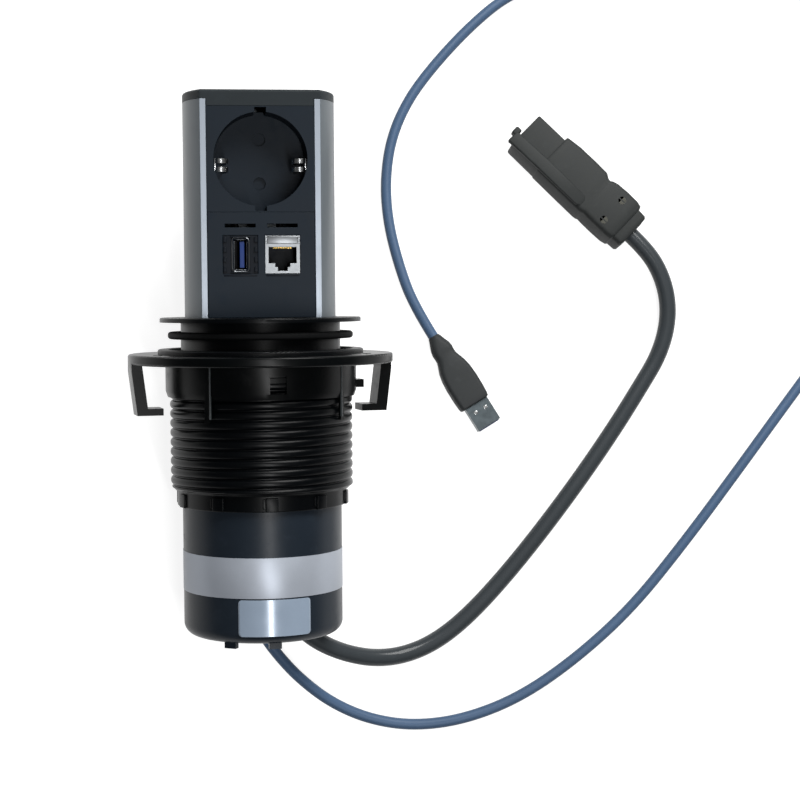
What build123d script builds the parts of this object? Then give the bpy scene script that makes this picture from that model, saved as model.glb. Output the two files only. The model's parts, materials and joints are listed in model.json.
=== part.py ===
from build123d import *
import os
from math import asin, atan2, cos, degrees, hypot, pi, radians, sin, sqrt, tan

# Pop-up desk socket, in millimetres. The unit is worked out upright: its axis is Z, its front
# faces -Y and the top of its flange is at Z 0. Every piece is then laid on its back, so that the
# unit rests on the rim of its clamp nut and on the lower end of its tube, with Z 0 the surface.

# Clearances
slide_gap = 0.4          # between the column and the casing that it slides in
fit_gap = 0.15           # between pieces that are pushed together by hand
seat_gap = 0.05          # between a pin and its hole, and between seats that touch
thread_gap = 0.35        # between the nut's thread and the casing's
overrun = 1.0            # how far a cutting shape runs past what it cuts

# Column
module_side = 45.0       # side of a front module
module_gap = 0.56        # between a module's place and the lips
front_depth = 20.75      # from the axis to the front panel
lip_width = 2.6          # bright lips of the profile beside the front panel
profile_wall = 1.8
cap_plate = 4.0
cap_apron = 3.0          # the cap reaches this far down between the lips
cap_edge = 1.2
column_overlap = 14.0    # what stays inside the casing when the column is up
base_disc_thick = 3.0
shoe_height = 0.6
wire_hole_radius = 13.0

# Rear channel, rack and damper
channel_half = 8.0
channel_depth = 8.0      # below the column's back
channel_wall = 1.6
rack_width = 4.0
rack_plate = 0.9
rack_left = 1.5          # left faces of the rack and the gear
tooth_module = 0.5
gear_teeth = 12
gear_width = 3.0
damper_length = 6.0
damper_radius = 3.5
damper_pin_radius = 0.8
damper_below = 10.0      # axle of the damper, below the flange

# Casing, with its reaches past the column's back
flange_reach = 11.0
flange_thick = 2.0
flange_edge = 0.7
neck_wall = 1.5
seal_reach = 7.5
seal_thick = 3.1
seal_below = 7.7
crest_reach = 7.0
thread_depth = 1.75
thread_pitch = 4.14
thread_start = 20.0      # all of these are below the flange's top
thread_end = 75.0
collar_reach = 4.2
collar_end = 82.0
collar_lug = 0.9
lug_width = 5.4
lug_count = 10
lug_turn = 4.0
lug_height = 6.0
tube_wall = 1.6
tube_overlap = 12.0      # of the tube in the collar's counterbore
tube_end = 139.0
tube_edge = 5.3
well_inset = 4.5         # of the cable well's wall from the column's back
well_depth = 20.0
base_thick = 2.5
foot_width = 5.4         # the two tabs that show below the tube
foot_height = 2.4
foot_thick = 2.6
band_start = 101.7
band_tall = 17.3
foil = 0.15
small_label_gap = 0.6    # below the band
small_label_tall = 15.7
small_label_left = -20.0     # degrees round from the front
small_label_right = 32.5
screw_radius = 1.3
screw_head_radius = 2.3
screw_head = 1.6
screw_length = 9.0
screw_slot = 0.6

# Clamp nut, with its reaches past the thread
nut_reach = 18.0
nut_below = 15.8
disc_thick = 4.3
nut_edge = 1.0
skirt_wall = 1.45
skirt_end = 31.8
skirt_chamfer_end = 34.4
washer_reach = 5.0
washer_thick = 2.0
washer_lip = 1.2
hook_width = 13.0
hook_thick = 4.9
hook_drop = 21.8         # below the disc's lower face
hook_foot = 6.7
hook_foot_thick = 3.0
hook_lean = 7.0          # degrees
nut_turned = 9.0         # degrees that the nut stands turned
tongue_width = 2.6
tongue_thick = 1.2
tongue_end = 44.0
nut_thread_turns = 1.5
release_width = 8.0
release_reach = 3.8
release_low = 31.5
release_high = 28.0
window_width = 7.0
window_low = 32.0
window_high = 24.4
window_centre = 5.6

# Lift springs and latch
drum_radius = 4.2
drum_length = 7.0
drum_place = 6.5         # from the middle, to each side
strip_thick = 0.3
axle_radius = 1.0
cheek_thick = 1.2
bracket_plate = 1.2
spring_gap = 0.35
latch_width = 5.0
latch_thick = 1.8
latch_nose = 3.2
latch_nose_tall = 1.6
latch_lift = 1.0         # of the nose over the lowered column's base
latch_pin_radius = 0.7
latch_pin_height = 1.6   # above the base plate
latch_inset = 5.8        # of the arm's rear face from the casing's wall
latch_leaf = 0.3
notch_depth = 8.3        # of the notch that the latch passes through
notch_half = 5.4

# Earthed socket module
recess_margin = 2.5      # between the recess and the module's sides
recess_depth = 17.5
recess_wall = 1.4
face_thick = 2.4
pin_spacing = 19.0
pin_hole_radius = 2.75
sleeve_radius = 3.3
sleeve_wall = 0.6
sleeve_gap = 2.7         # in front of the sleeves
back_margin = 3.0
rear_room = 3.25         # between the terminal screws and the channel
back_wall = 1.3
clip_width = 6.0
clip_thick = 0.8
clip_bulge = 3.4
clip_low = 2.5           # clip's middle below the recess's
guide_width = 5.0
guide_depth = 2.0
shutter_travel = 6.0
shutter_width = 15.0
shutter_thick = 1.2
spring_wire = 0.35
spring_radius = 1.5
spring_turns = 6
terminal_radius = 2.2
terminal_length = 5.0
terminal_step = 10.0

# Data module
port_offset = 9.0        # from the middle, to each side
keystone_wide = 14.8
keystone_tall = 16.3
keystone_deep = 27.0
latch_slot_wide = 13.0
latch_slot_tall = 1.6
latch_slot_step = 4.2
usb_wide = 5.9
usb_tall = 13.2
usb_wall = 0.35
usb_deep = 14.0
usb_rim_wide = 7.9
usb_rim_tall = 15.3
usb_tongue_wide = 1.9
usb_tongue_tall = 11.2
jack_wide = 11.8
jack_tall = 6.8
jack_deep = 13.5
jack_below = 0.3         # middle of the jack's opening below the face's middle
notch_wide = 6.2
notch_tall = 1.6
notch_step_wide = 4.0
jack_contacts = 8
contact_pitch = 1.02
contact_wire = 0.4

# Mains lead, data lead and what is on them
mains_diameter = 8.0
data_diameter = 5.0
gland_length = 8.1
gland_root = 6.2
gland_tip = 5.0
gland_turn = 30.0        # degrees to the right of the unit's axis
gland_across = 2.9
gland_depth = 10.0       # behind the axis
data_gland_length = 5.0
data_gland_root = 4.2
data_gland_tip = 3.2
data_gland_turn = 15.0
data_gland_across = -8.5
connector_wide = 24.6
connector_front_wide = 18.4
connector_tall = 17.0
connector_mouth = 19.0   # length of the connector's front housing
connector_cover = 54.0   # length of its clamp cover
connector_wall = 1.6
pole_spacing = 5.6
pole_radius = 1.6
latch_hook_long = 12.0
latch_hook_gap = 1.2
connector_screw_radius = 1.9
plug_wide = 15.6
plug_tall = 8.4
plug_long = 25.0
plug_relief = 12.0
plug_relief_tip = 3.2
plug_edge = 1.6
shell_wide = 12.0
shell_tall = 4.5
shell_long = 12.0
shell_wall = 0.35
shell_tongue = 1.9
wire_radius = 1.2
wire_step = 3.0          # between the mains wires where they come up
wire_bend = 26.8         # height of the wires' first bend above the base plate
coil_radius = 27.5       # to the middle of the turns
coil_bundle_wide = 12.0
coil_bundle_tall = 9.6

# Angles, counts and shares of the sizes above
screw_turns = (60.0, 180.0, 300.0)
foot_turns = (-30.0, 7.0)
tongue_turns = (-44.5, 45.5, 135.5, 225.5)
shoe_turns = (45.0, 135.0, 225.0, 315.0)
thread_land = 0.5
thread_sink = 0.25
rib_shares = ((0.55, 0.8), (1.0, 0.4))
ridge_root_share = 0.26
ridge_tip_share = 0.06
seal_edge_share = 0.4
skirt_lip_share = 0.4
washer_edge_share = 0.4
strip_share = 0.7
nose_bevel_share = 0.6
shoe_share = 0.2
wire_share = 0.4
arc_share = 0.45
clip_shares = (0.0, 0.35, 0.65, 1.0)
clip_bulge_shares = (0.0, 1.0, 0.9, 0.1)
connector_cover_shares = ((0.0, 0.14, 0.8, 0.72), (0.11, 0.6, 1.0, 0.9), (0.55, 1.0, 0.98, 1.0))
connector_screw_share = 0.26
connector_aside_share = 0.27
relief_root_share = 0.45
coil_edge_share = 0.3
port_share = 0.598       # height of the ports in their module
tooth_root_share = 1.25
ridge_clear_share = 0.25
contact_front_share = 0.25
connector_room_share = 1 / 3
gear_tooth_shares = (-0.32, -0.11, 0.11, 0.32)
rack_tooth_shares = (-0.34, -0.13, 0.13, 0.34)

# Sizes that follow
column_half = module_side / 2 + module_gap + lip_width
column_radius = hypot(column_half, front_depth)
opening_half = column_half - lip_width
channel_floor = column_radius - channel_depth
column_top = cap_plate + cap_apron + 2 * module_side
column_travel = column_top
profile_top = column_top - cap_plate
bore_radius = column_radius + slide_gap
flange_radius = column_radius + flange_reach
seal_radius = column_radius + seal_reach
crest_radius = column_radius + crest_reach
collar_radius = column_radius + collar_reach
well_radius = column_radius - well_inset
nut_radius = crest_radius + nut_reach
washer_radius = crest_radius + washer_reach
latch_rear = bore_radius - latch_inset
notch_rear = column_radius - notch_depth
recess_radius = module_side / 2 - recess_margin
back_side = module_side - 2 * back_margin
port_height = module_side * port_share
root_radius = crest_radius - thread_depth
neck_radius = bore_radius + neck_wall
tube_radius = bore_radius + tube_wall
well_top = -tube_end + well_depth
nut_bore = crest_radius + thread_gap
skirt_radius = nut_bore + skirt_wall
nut_top = -nut_below
nut_bottom = nut_top - disc_thick
socket_middle = column_top - cap_plate - cap_apron - module_side / 2
recess_floor = -front_depth + recess_depth
back_front = recess_floor + recess_wall
back_depth = channel_floor - channel_wall - rear_room - terminal_length - back_front
sleeve_length = back_depth - back_wall - sleeve_gap
band_end = band_start + band_tall
small_label_high = band_end + small_label_gap
small_label_low = small_label_high + small_label_tall
gear_pitch = tooth_module * gear_teeth / 2
rack_pitch = channel_floor + rack_plate + tooth_root_share * tooth_module
gear_place = rack_pitch + gear_pitch
gear_root = gear_pitch - tooth_root_share * tooth_module
gear_tip = gear_pitch + tooth_module
gear_radii = (gear_root, gear_tip, gear_tip, gear_root)
drum_depth = front_depth + slide_gap + spring_gap + strip_thick + drum_radius
drum_below = flange_thick + bracket_plate + spring_gap + strip_thick + drum_radius
base_top = well_top + base_thick


# Simple solids
def block(across, back, up):
    """A box between two places on each axis."""
    spans = (across, back, up)
    middle = [(low + high) / 2 for low, high in spans]
    size = [high - low for low, high in spans]
    return Pos(*middle) * Box(*size)


def disc(radius, low, high):
    """A cylinder about Z."""
    return Pos(0, 0, (low + high) / 2) * Cylinder(radius, high - low)


def ring(outer, inner, low, high):
    """A tube about Z."""
    return disc(outer, low, high) - disc(inner, low - overrun, high + overrun)


def bar_across(radius, across, back, up):
    """A cylinder along X."""
    low, high = across
    return Pos((low + high) / 2, back, up) * Rot(0, 90, 0) * Cylinder(radius, high - low)


def bar_deep(radius, across, back, up):
    """A cylinder along Y."""
    low, high = back
    return Pos(across, (low + high) / 2, up) * Rot(90, 0, 0) * Cylinder(radius, high - low)


def turned(points):
    """A solid turned about Z from its outline in radius and height."""
    outline = Plane.XZ * Polyline(*points, close=True)
    return revolve(make_face(outline), axis=Axis.Z)


def d_section(radius, flat):
    """A circle cut off by a flat in front of the axis."""
    return Circle(radius) - Pos(0, -flat - radius) * Rectangle(2 * radius, 2 * radius)


def d_bar(radius, flat, low, high):
    return Pos(0, 0, low) * extrude(d_section(radius, flat), high - low)


def round_edges(solid, side, radius):
    """Rounds the highest edges, side -1, or the lowest, side 0."""
    return fillet(solid.edges().group_by(Axis.Z)[side], radius)


# Casing
def bezel_flange():
    plate = round_edges(disc(flange_radius, -flange_thick, 0), -1, flange_edge)
    hole = d_bar(bore_radius, front_depth + slide_gap, -flange_thick - overrun, overrun)
    return plate - hole


def hole_seal():
    low = -seal_below - seal_thick / 2
    seal = disc(seal_radius, low, low + seal_thick)
    for side in (-1, 0):
        seal = round_edges(seal, side, seal_thick * seal_edge_share)
    return seal - disc(neck_radius + seat_gap, low - overrun, low + seal_thick + overrun)


def helical_rib(radius, outline, turns, low):
    """A rib of the given outline, radial and axial, swept along a helix that starts at low."""
    path = Helix(pitch=thread_pitch, height=turns * thread_pitch, radius=radius)
    across = Plane(origin=path @ 0, x_dir=(1, 0, 0), z_dir=path % 0)
    face = make_face(across * Polyline(*outline, close=True))
    return Pos(0, 0, low) * sweep(face, path=path, is_frenet=True)


def casing_thread():
    half = (thread_pitch - thread_land) / 2
    shares = ((0, 1), *rib_shares)
    right = [(depth * thread_depth, width * half) for depth, width in shares[1:]]
    left = [(depth, -width) for depth, width in reversed(right)]
    outline = [(-thread_sink, half), *right, *left, (-thread_sink, -half)]
    low = -thread_end + thread_pitch / 2
    turns = (thread_end - thread_start - thread_pitch) / thread_pitch
    return helical_rib(root_radius, outline, turns, low)


def collar_lugs():
    lug = block((-lug_width / 2, lug_width / 2),
                (-collar_radius - collar_lug, -collar_radius + collar_lug),
                (-collar_end, -collar_end + lug_height))
    turns = [lug_turn + index * 360 / lug_count for index in range(lug_count)]
    return [Rot(0, 0, turn) * lug for turn in turns]


def threaded_sleeve():
    sleeve = disc(neck_radius, -thread_start, -flange_thick)
    sleeve += disc(root_radius, -thread_end, -thread_start)
    sleeve += disc(collar_radius, -collar_end, -thread_end)
    for lug in collar_lugs():
        sleeve += lug
    sleeve -= disc(bore_radius, -collar_end - overrun, overrun)
    seat = -collar_end + tube_overlap
    sleeve -= disc(tube_radius + seat_gap, -collar_end - overrun, seat)
    return sleeve + casing_thread()


def tube_foot(turn):
    """A tab of the base that shows below the tube's edge."""
    tab = block((-foot_width / 2, foot_width / 2),
                (-well_radius - foot_thick, -well_radius),
                (-tube_end - foot_height, -tube_end + foot_height))
    return Rot(0, 0, turn) * tab


def lower_tube():
    top = -collar_end + tube_overlap
    tube = round_edges(disc(tube_radius, -tube_end, top), 0, tube_edge)
    tube -= disc(bore_radius, well_top, top + overrun)
    tube -= disc(well_radius, -tube_end - overrun, well_top + overrun)
    for across, back in screw_places():
        tube -= Pos(across, back) * disc(screw_radius + seat_gap, base_top - screw_length, base_top)
    for turn in foot_turns:
        tube += tube_foot(turn)
    return tube


def base_plate():
    plate = disc(bore_radius - seat_gap, well_top, base_top)
    for across, back in screw_places():
        plate -= Pos(across, back) * disc(screw_radius + seat_gap, well_top - overrun, base_top + overrun)
    return plate


def screw_places():
    """The base plate's screws, in the middle of the tube's thick end."""
    circle = (well_radius + tube_radius - tube_wall) / 2
    return [(circle * cos(radians(turn)), circle * sin(radians(turn))) for turn in screw_turns]


def base_screws():
    screws = []
    for across, back in screw_places():
        shank = disc(screw_radius, base_top - screw_length, base_top)
        head = disc(screw_head_radius, base_top, base_top + screw_head)
        slot = block((-screw_head_radius, screw_head_radius), (-screw_slot / 2, screw_slot / 2),
                     (base_top + screw_head / 2, base_top + screw_head + overrun))
        screws.append(Pos(across, back, 0) * (shank + head - slot))
    return Compound(screws)


def gland(across, turn, root, tip, length):
    """A tapered gland under the base plate, leaning to the right."""
    lean = Pos(across, gland_depth, well_top) * Rot(0, -turn, 0)
    taper = lean * Pos(0, 0, -(length - root) / 2) * Cone(tip, root, length + root)
    trim = block((across - length - root, across + length + root),
                 (gland_depth - 2 * root, gland_depth + 2 * root), (well_top, well_top + 2 * length + root))
    return taper - trim


def mains_gland():
    return gland(gland_across, gland_turn, gland_root, gland_tip, gland_length)


def data_gland():
    return gland(data_gland_across, data_gland_turn, data_gland_root, data_gland_tip, data_gland_length)


def wrapped(left, right, low, high):
    """A foil on the tube between two angles from the front."""
    skin = ring(tube_radius + foil, tube_radius, low, high)
    reach = 2 * tube_radius
    points = [(0, 0)]
    for turn in (left, (left + right) / 2, right):
        points.append((reach * sin(radians(turn)), -reach * cos(radians(turn))))
    wedge = Pos(0, 0, low) * extrude(make_face(Polyline(*points, close=True)), high - low)
    return skin & wedge


def label_band():
    return ring(tube_radius + foil, tube_radius, -band_end, -band_start)


def label_small():
    return wrapped(small_label_left, small_label_right, -small_label_low, -small_label_high)


# Clamp nut and its washer
def nut_hook():
    """A leg that hangs from the nut's rim and ends in a foot that points inwards."""
    lean = tan(radians(hook_lean))
    foot_low = nut_bottom - hook_drop
    foot_high = foot_low + hook_foot_thick
    outer = [(nut_radius - lean * (nut_bottom - up), up) for up in (nut_bottom + nut_edge, foot_low)]
    heel = nut_radius - lean * (nut_bottom - foot_high) - hook_thick
    tip = heel - hook_foot
    outline = [outer[0], outer[1], (tip, foot_low), (tip, foot_high), (heel, foot_high),
               (outer[0][0] - hook_thick, outer[0][1])]
    face = make_face(Plane.XZ * Polyline(*outline, close=True))
    leg = extrude(face, hook_width / 2, both=True)
    return leg & disc(nut_radius, foot_low - overrun, nut_top)


def nut_skirt():
    low = -skirt_chamfer_end
    lip = nut_bore + skirt_wall * skirt_lip_share
    return turned([(nut_bore, nut_top), (skirt_radius, nut_top), (skirt_radius, -skirt_end),
                   (lip, low), (nut_bore, low)])


def nut_tongue():
    """A slim tongue that runs down beside the thread from the skirt's edge."""
    outer = sqrt((nut_bore + tongue_thick) ** 2 - (tongue_width / 2) ** 2)
    tongue = block((-tongue_width / 2, tongue_width / 2), (-nut_bore - tongue_thick, -outer + tongue_thick),
                   (-tongue_end, -skirt_end + tongue_width))
    return tongue - disc(nut_bore, -tongue_end - overrun, nut_top)


def nut_release():
    """A small step on the skirt's right side, to turn the nut by."""
    low = -release_low
    step = block((skirt_radius - skirt_wall, skirt_radius + release_reach),
                 (-release_width / 2, release_width / 2), (low, -release_high))
    return step - disc(nut_bore, low - overrun, nut_top)


def nut_ridge():
    """The thread inside the nut's skirt, in the valleys of the casing's thread."""
    tip = root_radius + 2 * thread_gap + thread_depth * ridge_clear_share
    wide = thread_pitch * ridge_root_share
    narrow = thread_pitch * ridge_tip_share
    inner = tip - nut_bore
    outline = [(thread_sink, wide), (thread_sink, -wide), (inner, -narrow), (inner, narrow)]
    casing_low = -thread_end + thread_pitch / 2
    steps = round((nut_bottom - disc_thick - casing_low) / thread_pitch - nut_thread_turns)
    low = casing_low + (steps + 1 / 2) * thread_pitch
    return helical_rib(nut_bore, outline, nut_thread_turns, low)


def clamp_nut():
    plate = disc(nut_radius, nut_bottom, nut_top)
    for side in (-1, 0):
        plate = round_edges(plate, side, nut_edge)
    body = plate + nut_skirt()
    for turn in (0, 180):
        body += Rot(0, 0, turn) * nut_hook()
    window = block((window_centre - window_width / 2, window_centre + window_width / 2),
                   (-skirt_radius - overrun, 0), (-window_low, -window_high))
    body += nut_release()
    body -= disc(nut_bore, -tongue_end - overrun, overrun)
    for turn in tongue_turns:
        body += Rot(0, 0, turn) * nut_tongue()
    return Rot(0, 0, nut_turned) * body - window + nut_ridge()


def thrust_washer():
    low = nut_top + seat_gap
    washer = disc(washer_radius, low, low + washer_thick)
    washer = round_edges(washer, -1, washer_thick * washer_edge_share)
    return washer - disc(nut_bore, low - overrun, low + washer_thick + overrun)


# Lift springs, damper and latch
def inside_casing(solid, low, high):
    return solid & disc(bore_radius - seat_gap, low, high)


def spring_bracket():
    half = drum_place + drum_length / 2 + seat_gap + cheek_thick
    front = (-bore_radius, -front_depth - slide_gap - fit_gap)
    plate = block((-half, half), front, (-flange_thick - bracket_plate, -flange_thick))
    low = -drum_below - axle_radius - cheek_thick
    for side in (-1, 1):
        edges = sorted((side * half, side * (half - cheek_thick)))
        plate += block(edges, front, (low, -flange_thick))
    plate -= bar_across(axle_radius + seat_gap, (-half - overrun, half + overrun), -drum_depth, -drum_below)
    return inside_casing(plate, low - overrun, 0)


def drum_axle():
    half = drum_place + drum_length / 2 + seat_gap + cheek_thick
    return bar_across(axle_radius, (-half, half), -drum_depth, -drum_below)


def spring_drums():
    """Two drums with their coiled strips, on one axle."""
    drums = []
    for side in (-1, 1):
        ends = (side * drum_place - drum_length / 2, side * drum_place + drum_length / 2)
        drum = bar_across(drum_radius, ends, -drum_depth, -drum_below)
        hole = (ends[0] - overrun, ends[1] + overrun)
        drums.append(drum - bar_across(axle_radius + seat_gap, hole, -drum_depth, -drum_below))
    return Compound(drums)


def lift_strips():
    """The free ends of the strip springs, from the drums down to the column's base."""
    strips = []
    front = -drum_depth - drum_radius
    for side in (-1, 1):
        middle = side * drum_place
        half = drum_length * strip_share / 2
        strips.append(block((middle - half, middle + half), (front - strip_thick, front),
                            (-column_overlap, -drum_below)))
    return Compound(strips)


def damper_body():
    """The damper's housing, with a foot that follows the casing's wall."""
    right = rack_left - slide_gap
    left = right - damper_length
    housing = bar_across(damper_radius, (left, right), gear_place, -damper_below)
    foot = block((left, right), (gear_place, bore_radius),
                 (-damper_below - damper_radius, -damper_below + damper_radius))
    pin = bar_across(damper_pin_radius, (left, rack_left + seat_gap + gear_width),
                     gear_place, -damper_below)
    return inside_casing(housing + foot + pin, -2 * damper_below, 0)


def damper_gear():
    points = []
    for tooth in range(gear_teeth):
        for share, radius in zip(gear_tooth_shares, gear_radii):
            turn = radians((tooth + share) * 360 / gear_teeth)
            points.append((radius * cos(turn), radius * sin(turn)))
    blank = extrude(make_face(Polyline(*points, close=True)), gear_width)
    blank -= Pos(0, 0, gear_width / 2) * Cylinder(damper_pin_radius + seat_gap, gear_width + overrun)
    return Pos(rack_left, gear_place, -damper_below) * Rot(0, 90, 0) * blank


def rack():
    pitch = pi * tooth_module
    root = channel_floor + rack_plate
    tip = rack_pitch + tooth_module
    low, high = -column_overlap, profile_top - damper_radius
    count = int((high - low) / pitch)
    first = -damper_below - pitch * (round((-damper_below - low) / pitch) - 1 / 2)
    outline = [(channel_floor, low), (root, low)]
    for tooth in range(1, count):
        middle = first + tooth * pitch
        for share, back in zip(rack_tooth_shares, (root, tip, tip, root)):
            outline.append((back, middle + share * pitch))
    outline += [(root, high), (channel_floor, high)]
    face = make_face(Plane.YZ * Polyline(*outline, close=True))
    return Pos(rack_left, 0, 0) * extrude(face, rack_width)


def latch_bracket():
    """Two cheeks on the base plate with the pin between them."""
    top = base_top + latch_pin_height + 2 * latch_pin_radius
    rear = -latch_rear + latch_thick / 2
    front = rear - 2 * latch_thick
    inner = latch_width / 2 + 2 * seat_gap
    bracket = None
    for side in (-1, 1):
        edges = sorted((side * inner, side * (inner + cheek_thick)))
        cheek = block(edges, (front, rear), (base_top, top))
        bracket = cheek if bracket is None else bracket + cheek
    pin = bar_across(latch_pin_radius, (-inner - cheek_thick, inner + cheek_thick),
                     -latch_rear - latch_thick / 2, base_top + latch_pin_height)
    return bracket + pin


def latch_hook():
    nose_low = -column_overlap - column_travel + latch_lift
    top = nose_low + latch_nose_tall
    across = (-latch_width / 2, latch_width / 2)
    low = base_top + spring_gap
    arm = block(across, (-latch_rear - latch_thick, -latch_rear), (low, top))
    nose = block(across, (-latch_rear, -latch_rear + latch_nose), (nose_low, top))
    nose = chamfer(nose.edges().filter_by(Axis.X).group_by(Axis.Z)[-1].sort_by(Axis.Y)[-1],
                   latch_nose_tall * nose_bevel_share)
    eye = bar_across(latch_pin_radius + seat_gap, (-latch_width, latch_width),
                     -latch_rear - latch_thick / 2, base_top + latch_pin_height)
    return arm + nose - eye


def latch_leaf_spring():
    """A leaf that stands on the base plate in front of the latch."""
    front = -latch_rear - 2 * latch_thick
    top = base_top + latch_pin_height + 2 * latch_thick
    rear = -latch_rear - latch_thick - fit_gap
    outline = [(front, base_top), (rear, top), (rear - latch_leaf, top), (front - latch_leaf, base_top)]
    face = make_face(Plane.YZ * Polyline(*outline, close=True))
    half = latch_width * strip_share / 2
    return Pos(-half, 0, 0) * extrude(face, 2 * half)


# Column
def column_profile():
    """The aluminium profile: a D with bright lips in front and a channel down its back."""
    outer = d_section(column_radius, front_depth)
    inner = d_section(column_radius - profile_wall, front_depth - profile_wall)
    opening = Pos(0, -front_depth) * Rectangle(2 * opening_half, 2 * (profile_wall + overrun))
    back = (channel_floor - channel_wall + column_radius) / 2
    depth = column_radius - channel_floor + channel_wall
    box = Pos(0, back) * Rectangle(2 * (channel_half + channel_wall), depth)
    slot = Pos(0, channel_floor + column_radius / 2) * Rectangle(2 * channel_half, column_radius)
    section = outer - inner - opening + (box & outer) - slot
    return Pos(0, 0, -column_overlap) * extrude(section, profile_top + column_overlap)


def front_strip(low, high, thick):
    """A plate between the profile's lips."""
    half = opening_half - fit_gap
    return block((-half, half), (-front_depth, -front_depth + thick), (low, high))


def top_cap():
    plate = d_bar(column_radius, front_depth, profile_top, column_top)
    plate = round_edges(plate, -1, cap_edge)
    return plate + front_strip(profile_top - cap_apron, profile_top, cap_plate)


def front_filler():
    return front_strip(-column_overlap, -seat_gap, face_thick)


def column_base():
    low = -column_overlap - base_disc_thick
    base = disc(column_radius - shoe_height, low, -column_overlap)
    base -= disc(wire_hole_radius, low - overrun, overrun)
    base -= block((-notch_half, notch_half), (-column_radius, -notch_rear), (low - overrun, overrun))
    return base


def slide_shoes():
    """Four low-friction pads round the column's base."""
    low = -column_overlap - base_disc_thick
    pads = []
    for turn in shoe_turns:
        pad = ring(column_radius, column_radius - shoe_height, low, -column_overlap)
        half = column_radius * shoe_share
        pad &= block((-half, half), (0, column_radius + overrun), (low, -column_overlap))
        pads.append(Rot(0, 0, turn) * pad)
    return Compound(pads)


# Earthed socket module
def socket_body():
    low, high = module_side + seat_gap, profile_top - cap_apron - seat_gap
    body = front_strip(low, high, face_thick)
    back = back_front
    body += bar_deep(recess_radius + recess_wall, 0, (-front_depth + face_thick / 2, back), socket_middle)
    body -= bar_deep(recess_radius, 0, (-front_depth - overrun, recess_floor), socket_middle)
    for side in (-1, 1):
        hole = socket_middle + side * pin_spacing / 2
        body -= bar_deep(pin_hole_radius, 0, (recess_floor - overrun, back + overrun), hole)
        edge = socket_middle + side * (recess_radius - guide_depth)
        reach = sorted((edge, edge + side * 2 * guide_depth))
        body -= block((-guide_width / 2, guide_width / 2), (-front_depth - overrun, recess_floor), reach)
    return body


def socket_back():
    """The rear housing, open towards the front."""
    front = back_front
    half = back_side / 2
    outer = block((-half, half), (front, front + back_depth), (socket_middle - half, socket_middle + half))
    half -= back_wall
    room = block((-half, half), (front - overrun, front + back_depth - back_wall),
                 (socket_middle - half, socket_middle + half))
    return outer - room


def socket_sleeves():
    """The two contact sleeves behind the pin holes."""
    rear = back_front + back_depth - back_wall
    sleeves = []
    for side in (-1, 1):
        up = socket_middle + side * pin_spacing / 2
        sleeve = bar_deep(sleeve_radius, 0, (rear - sleeve_length, rear), up)
        bore = bar_deep(sleeve_radius - sleeve_wall, 0, (rear - sleeve_length - overrun, rear - overrun), up)
        sleeves.append(sleeve - bore)
    return Compound(sleeves)


def earth_clips():
    """Sprung earth blades at the left and right of the recess."""
    middle = socket_middle - clip_low
    reach = clip_low + clip_width / 2
    wall = sqrt(recess_radius ** 2 - reach ** 2) - seat_gap
    front = -front_depth + face_thick
    places = [front + share * (recess_floor - front) for share in clip_shares]
    outer = [wall - share * clip_bulge for share in clip_bulge_shares]
    path = list(zip(outer, places))
    inner = [(across - clip_thick, back) for across, back in reversed(path)]
    face = make_face(Polyline(*path, *inner, close=True))
    clip = Pos(0, 0, middle - clip_width / 2) * extrude(face, clip_width)
    return Compound([clip, mirror(clip, about=Plane.YZ)])


def socket_shutter():
    """A sliding plate with two holes, which the plug's pins push aside."""
    front = back_front + fit_gap
    half = pin_spacing / 2 + 2 * pin_hole_radius
    left = -shutter_travel - pin_hole_radius - shutter_thick
    plate = block((left, left + shutter_width), (front, front + shutter_thick),
                  (socket_middle - half, socket_middle + half))
    for side in (-1, 1):
        up = socket_middle + side * pin_spacing / 2
        plate -= bar_deep(pin_hole_radius, -shutter_travel, (front - overrun, front + 2 * overrun), up)
    return plate


def shutter_spring():
    start = -shutter_travel - pin_hole_radius - shutter_thick + shutter_width
    end = back_side / 2 - back_wall
    length = end - start - 2 * spring_wire
    coil = Helix(pitch=length / spring_turns, height=length, radius=spring_radius)
    section = Plane(origin=coil @ 0, z_dir=coil % 0) * Circle(spring_wire)
    wire = sweep(section, path=coil, is_frenet=True)
    back = back_front + spring_radius + spring_wire + fit_gap / 2
    return Pos(start + spring_wire, back, socket_middle) * Rot(0, 90, 0) * wire


def terminal_screws():
    rear = back_front + back_depth
    screws = []
    for step in (-1, 0, 1):
        across = step * terminal_step
        up = socket_middle - back_side / 2 + terminal_radius + back_wall
        screw = bar_deep(terminal_radius, across, (rear, rear + terminal_length), up)
        screw -= block((across - terminal_radius, across + terminal_radius),
                       (rear + terminal_length - screw_slot, rear + terminal_length + overrun),
                       (up - screw_slot / 2, up + screw_slot / 2))
        screws.append(screw)
    return Compound(screws)


# Data module
def window(across, wide, tall, back, middle=port_height):
    return block((across - wide / 2, across + wide / 2), back, (middle - tall / 2, middle + tall / 2))


def data_plate():
    plate = front_strip(0, module_side - seat_gap, face_thick)
    cut = (-front_depth - overrun, -front_depth + face_thick + overrun)
    for side in (-1, 1):
        across = side * port_offset
        plate -= window(across, keystone_wide + fit_gap, keystone_tall + fit_gap, cut)
        slot = port_height + keystone_tall / 2 + latch_slot_step
        plate -= window(across, latch_slot_wide, latch_slot_tall, cut, slot)
    return plate


def keystone_block(across, front):
    return window(across, keystone_wide, keystone_tall, (front, front + keystone_deep))


def usb_adapter():
    front = -front_depth + fit_gap
    body = keystone_block(-port_offset, front)
    room = (front - overrun, front + usb_deep)
    body -= window(-port_offset, usb_wide + seat_gap, usb_tall + seat_gap, room)
    rim = (front - overrun, front + usb_wall)
    return body - window(-port_offset, usb_rim_wide, usb_rim_tall, rim)


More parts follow.
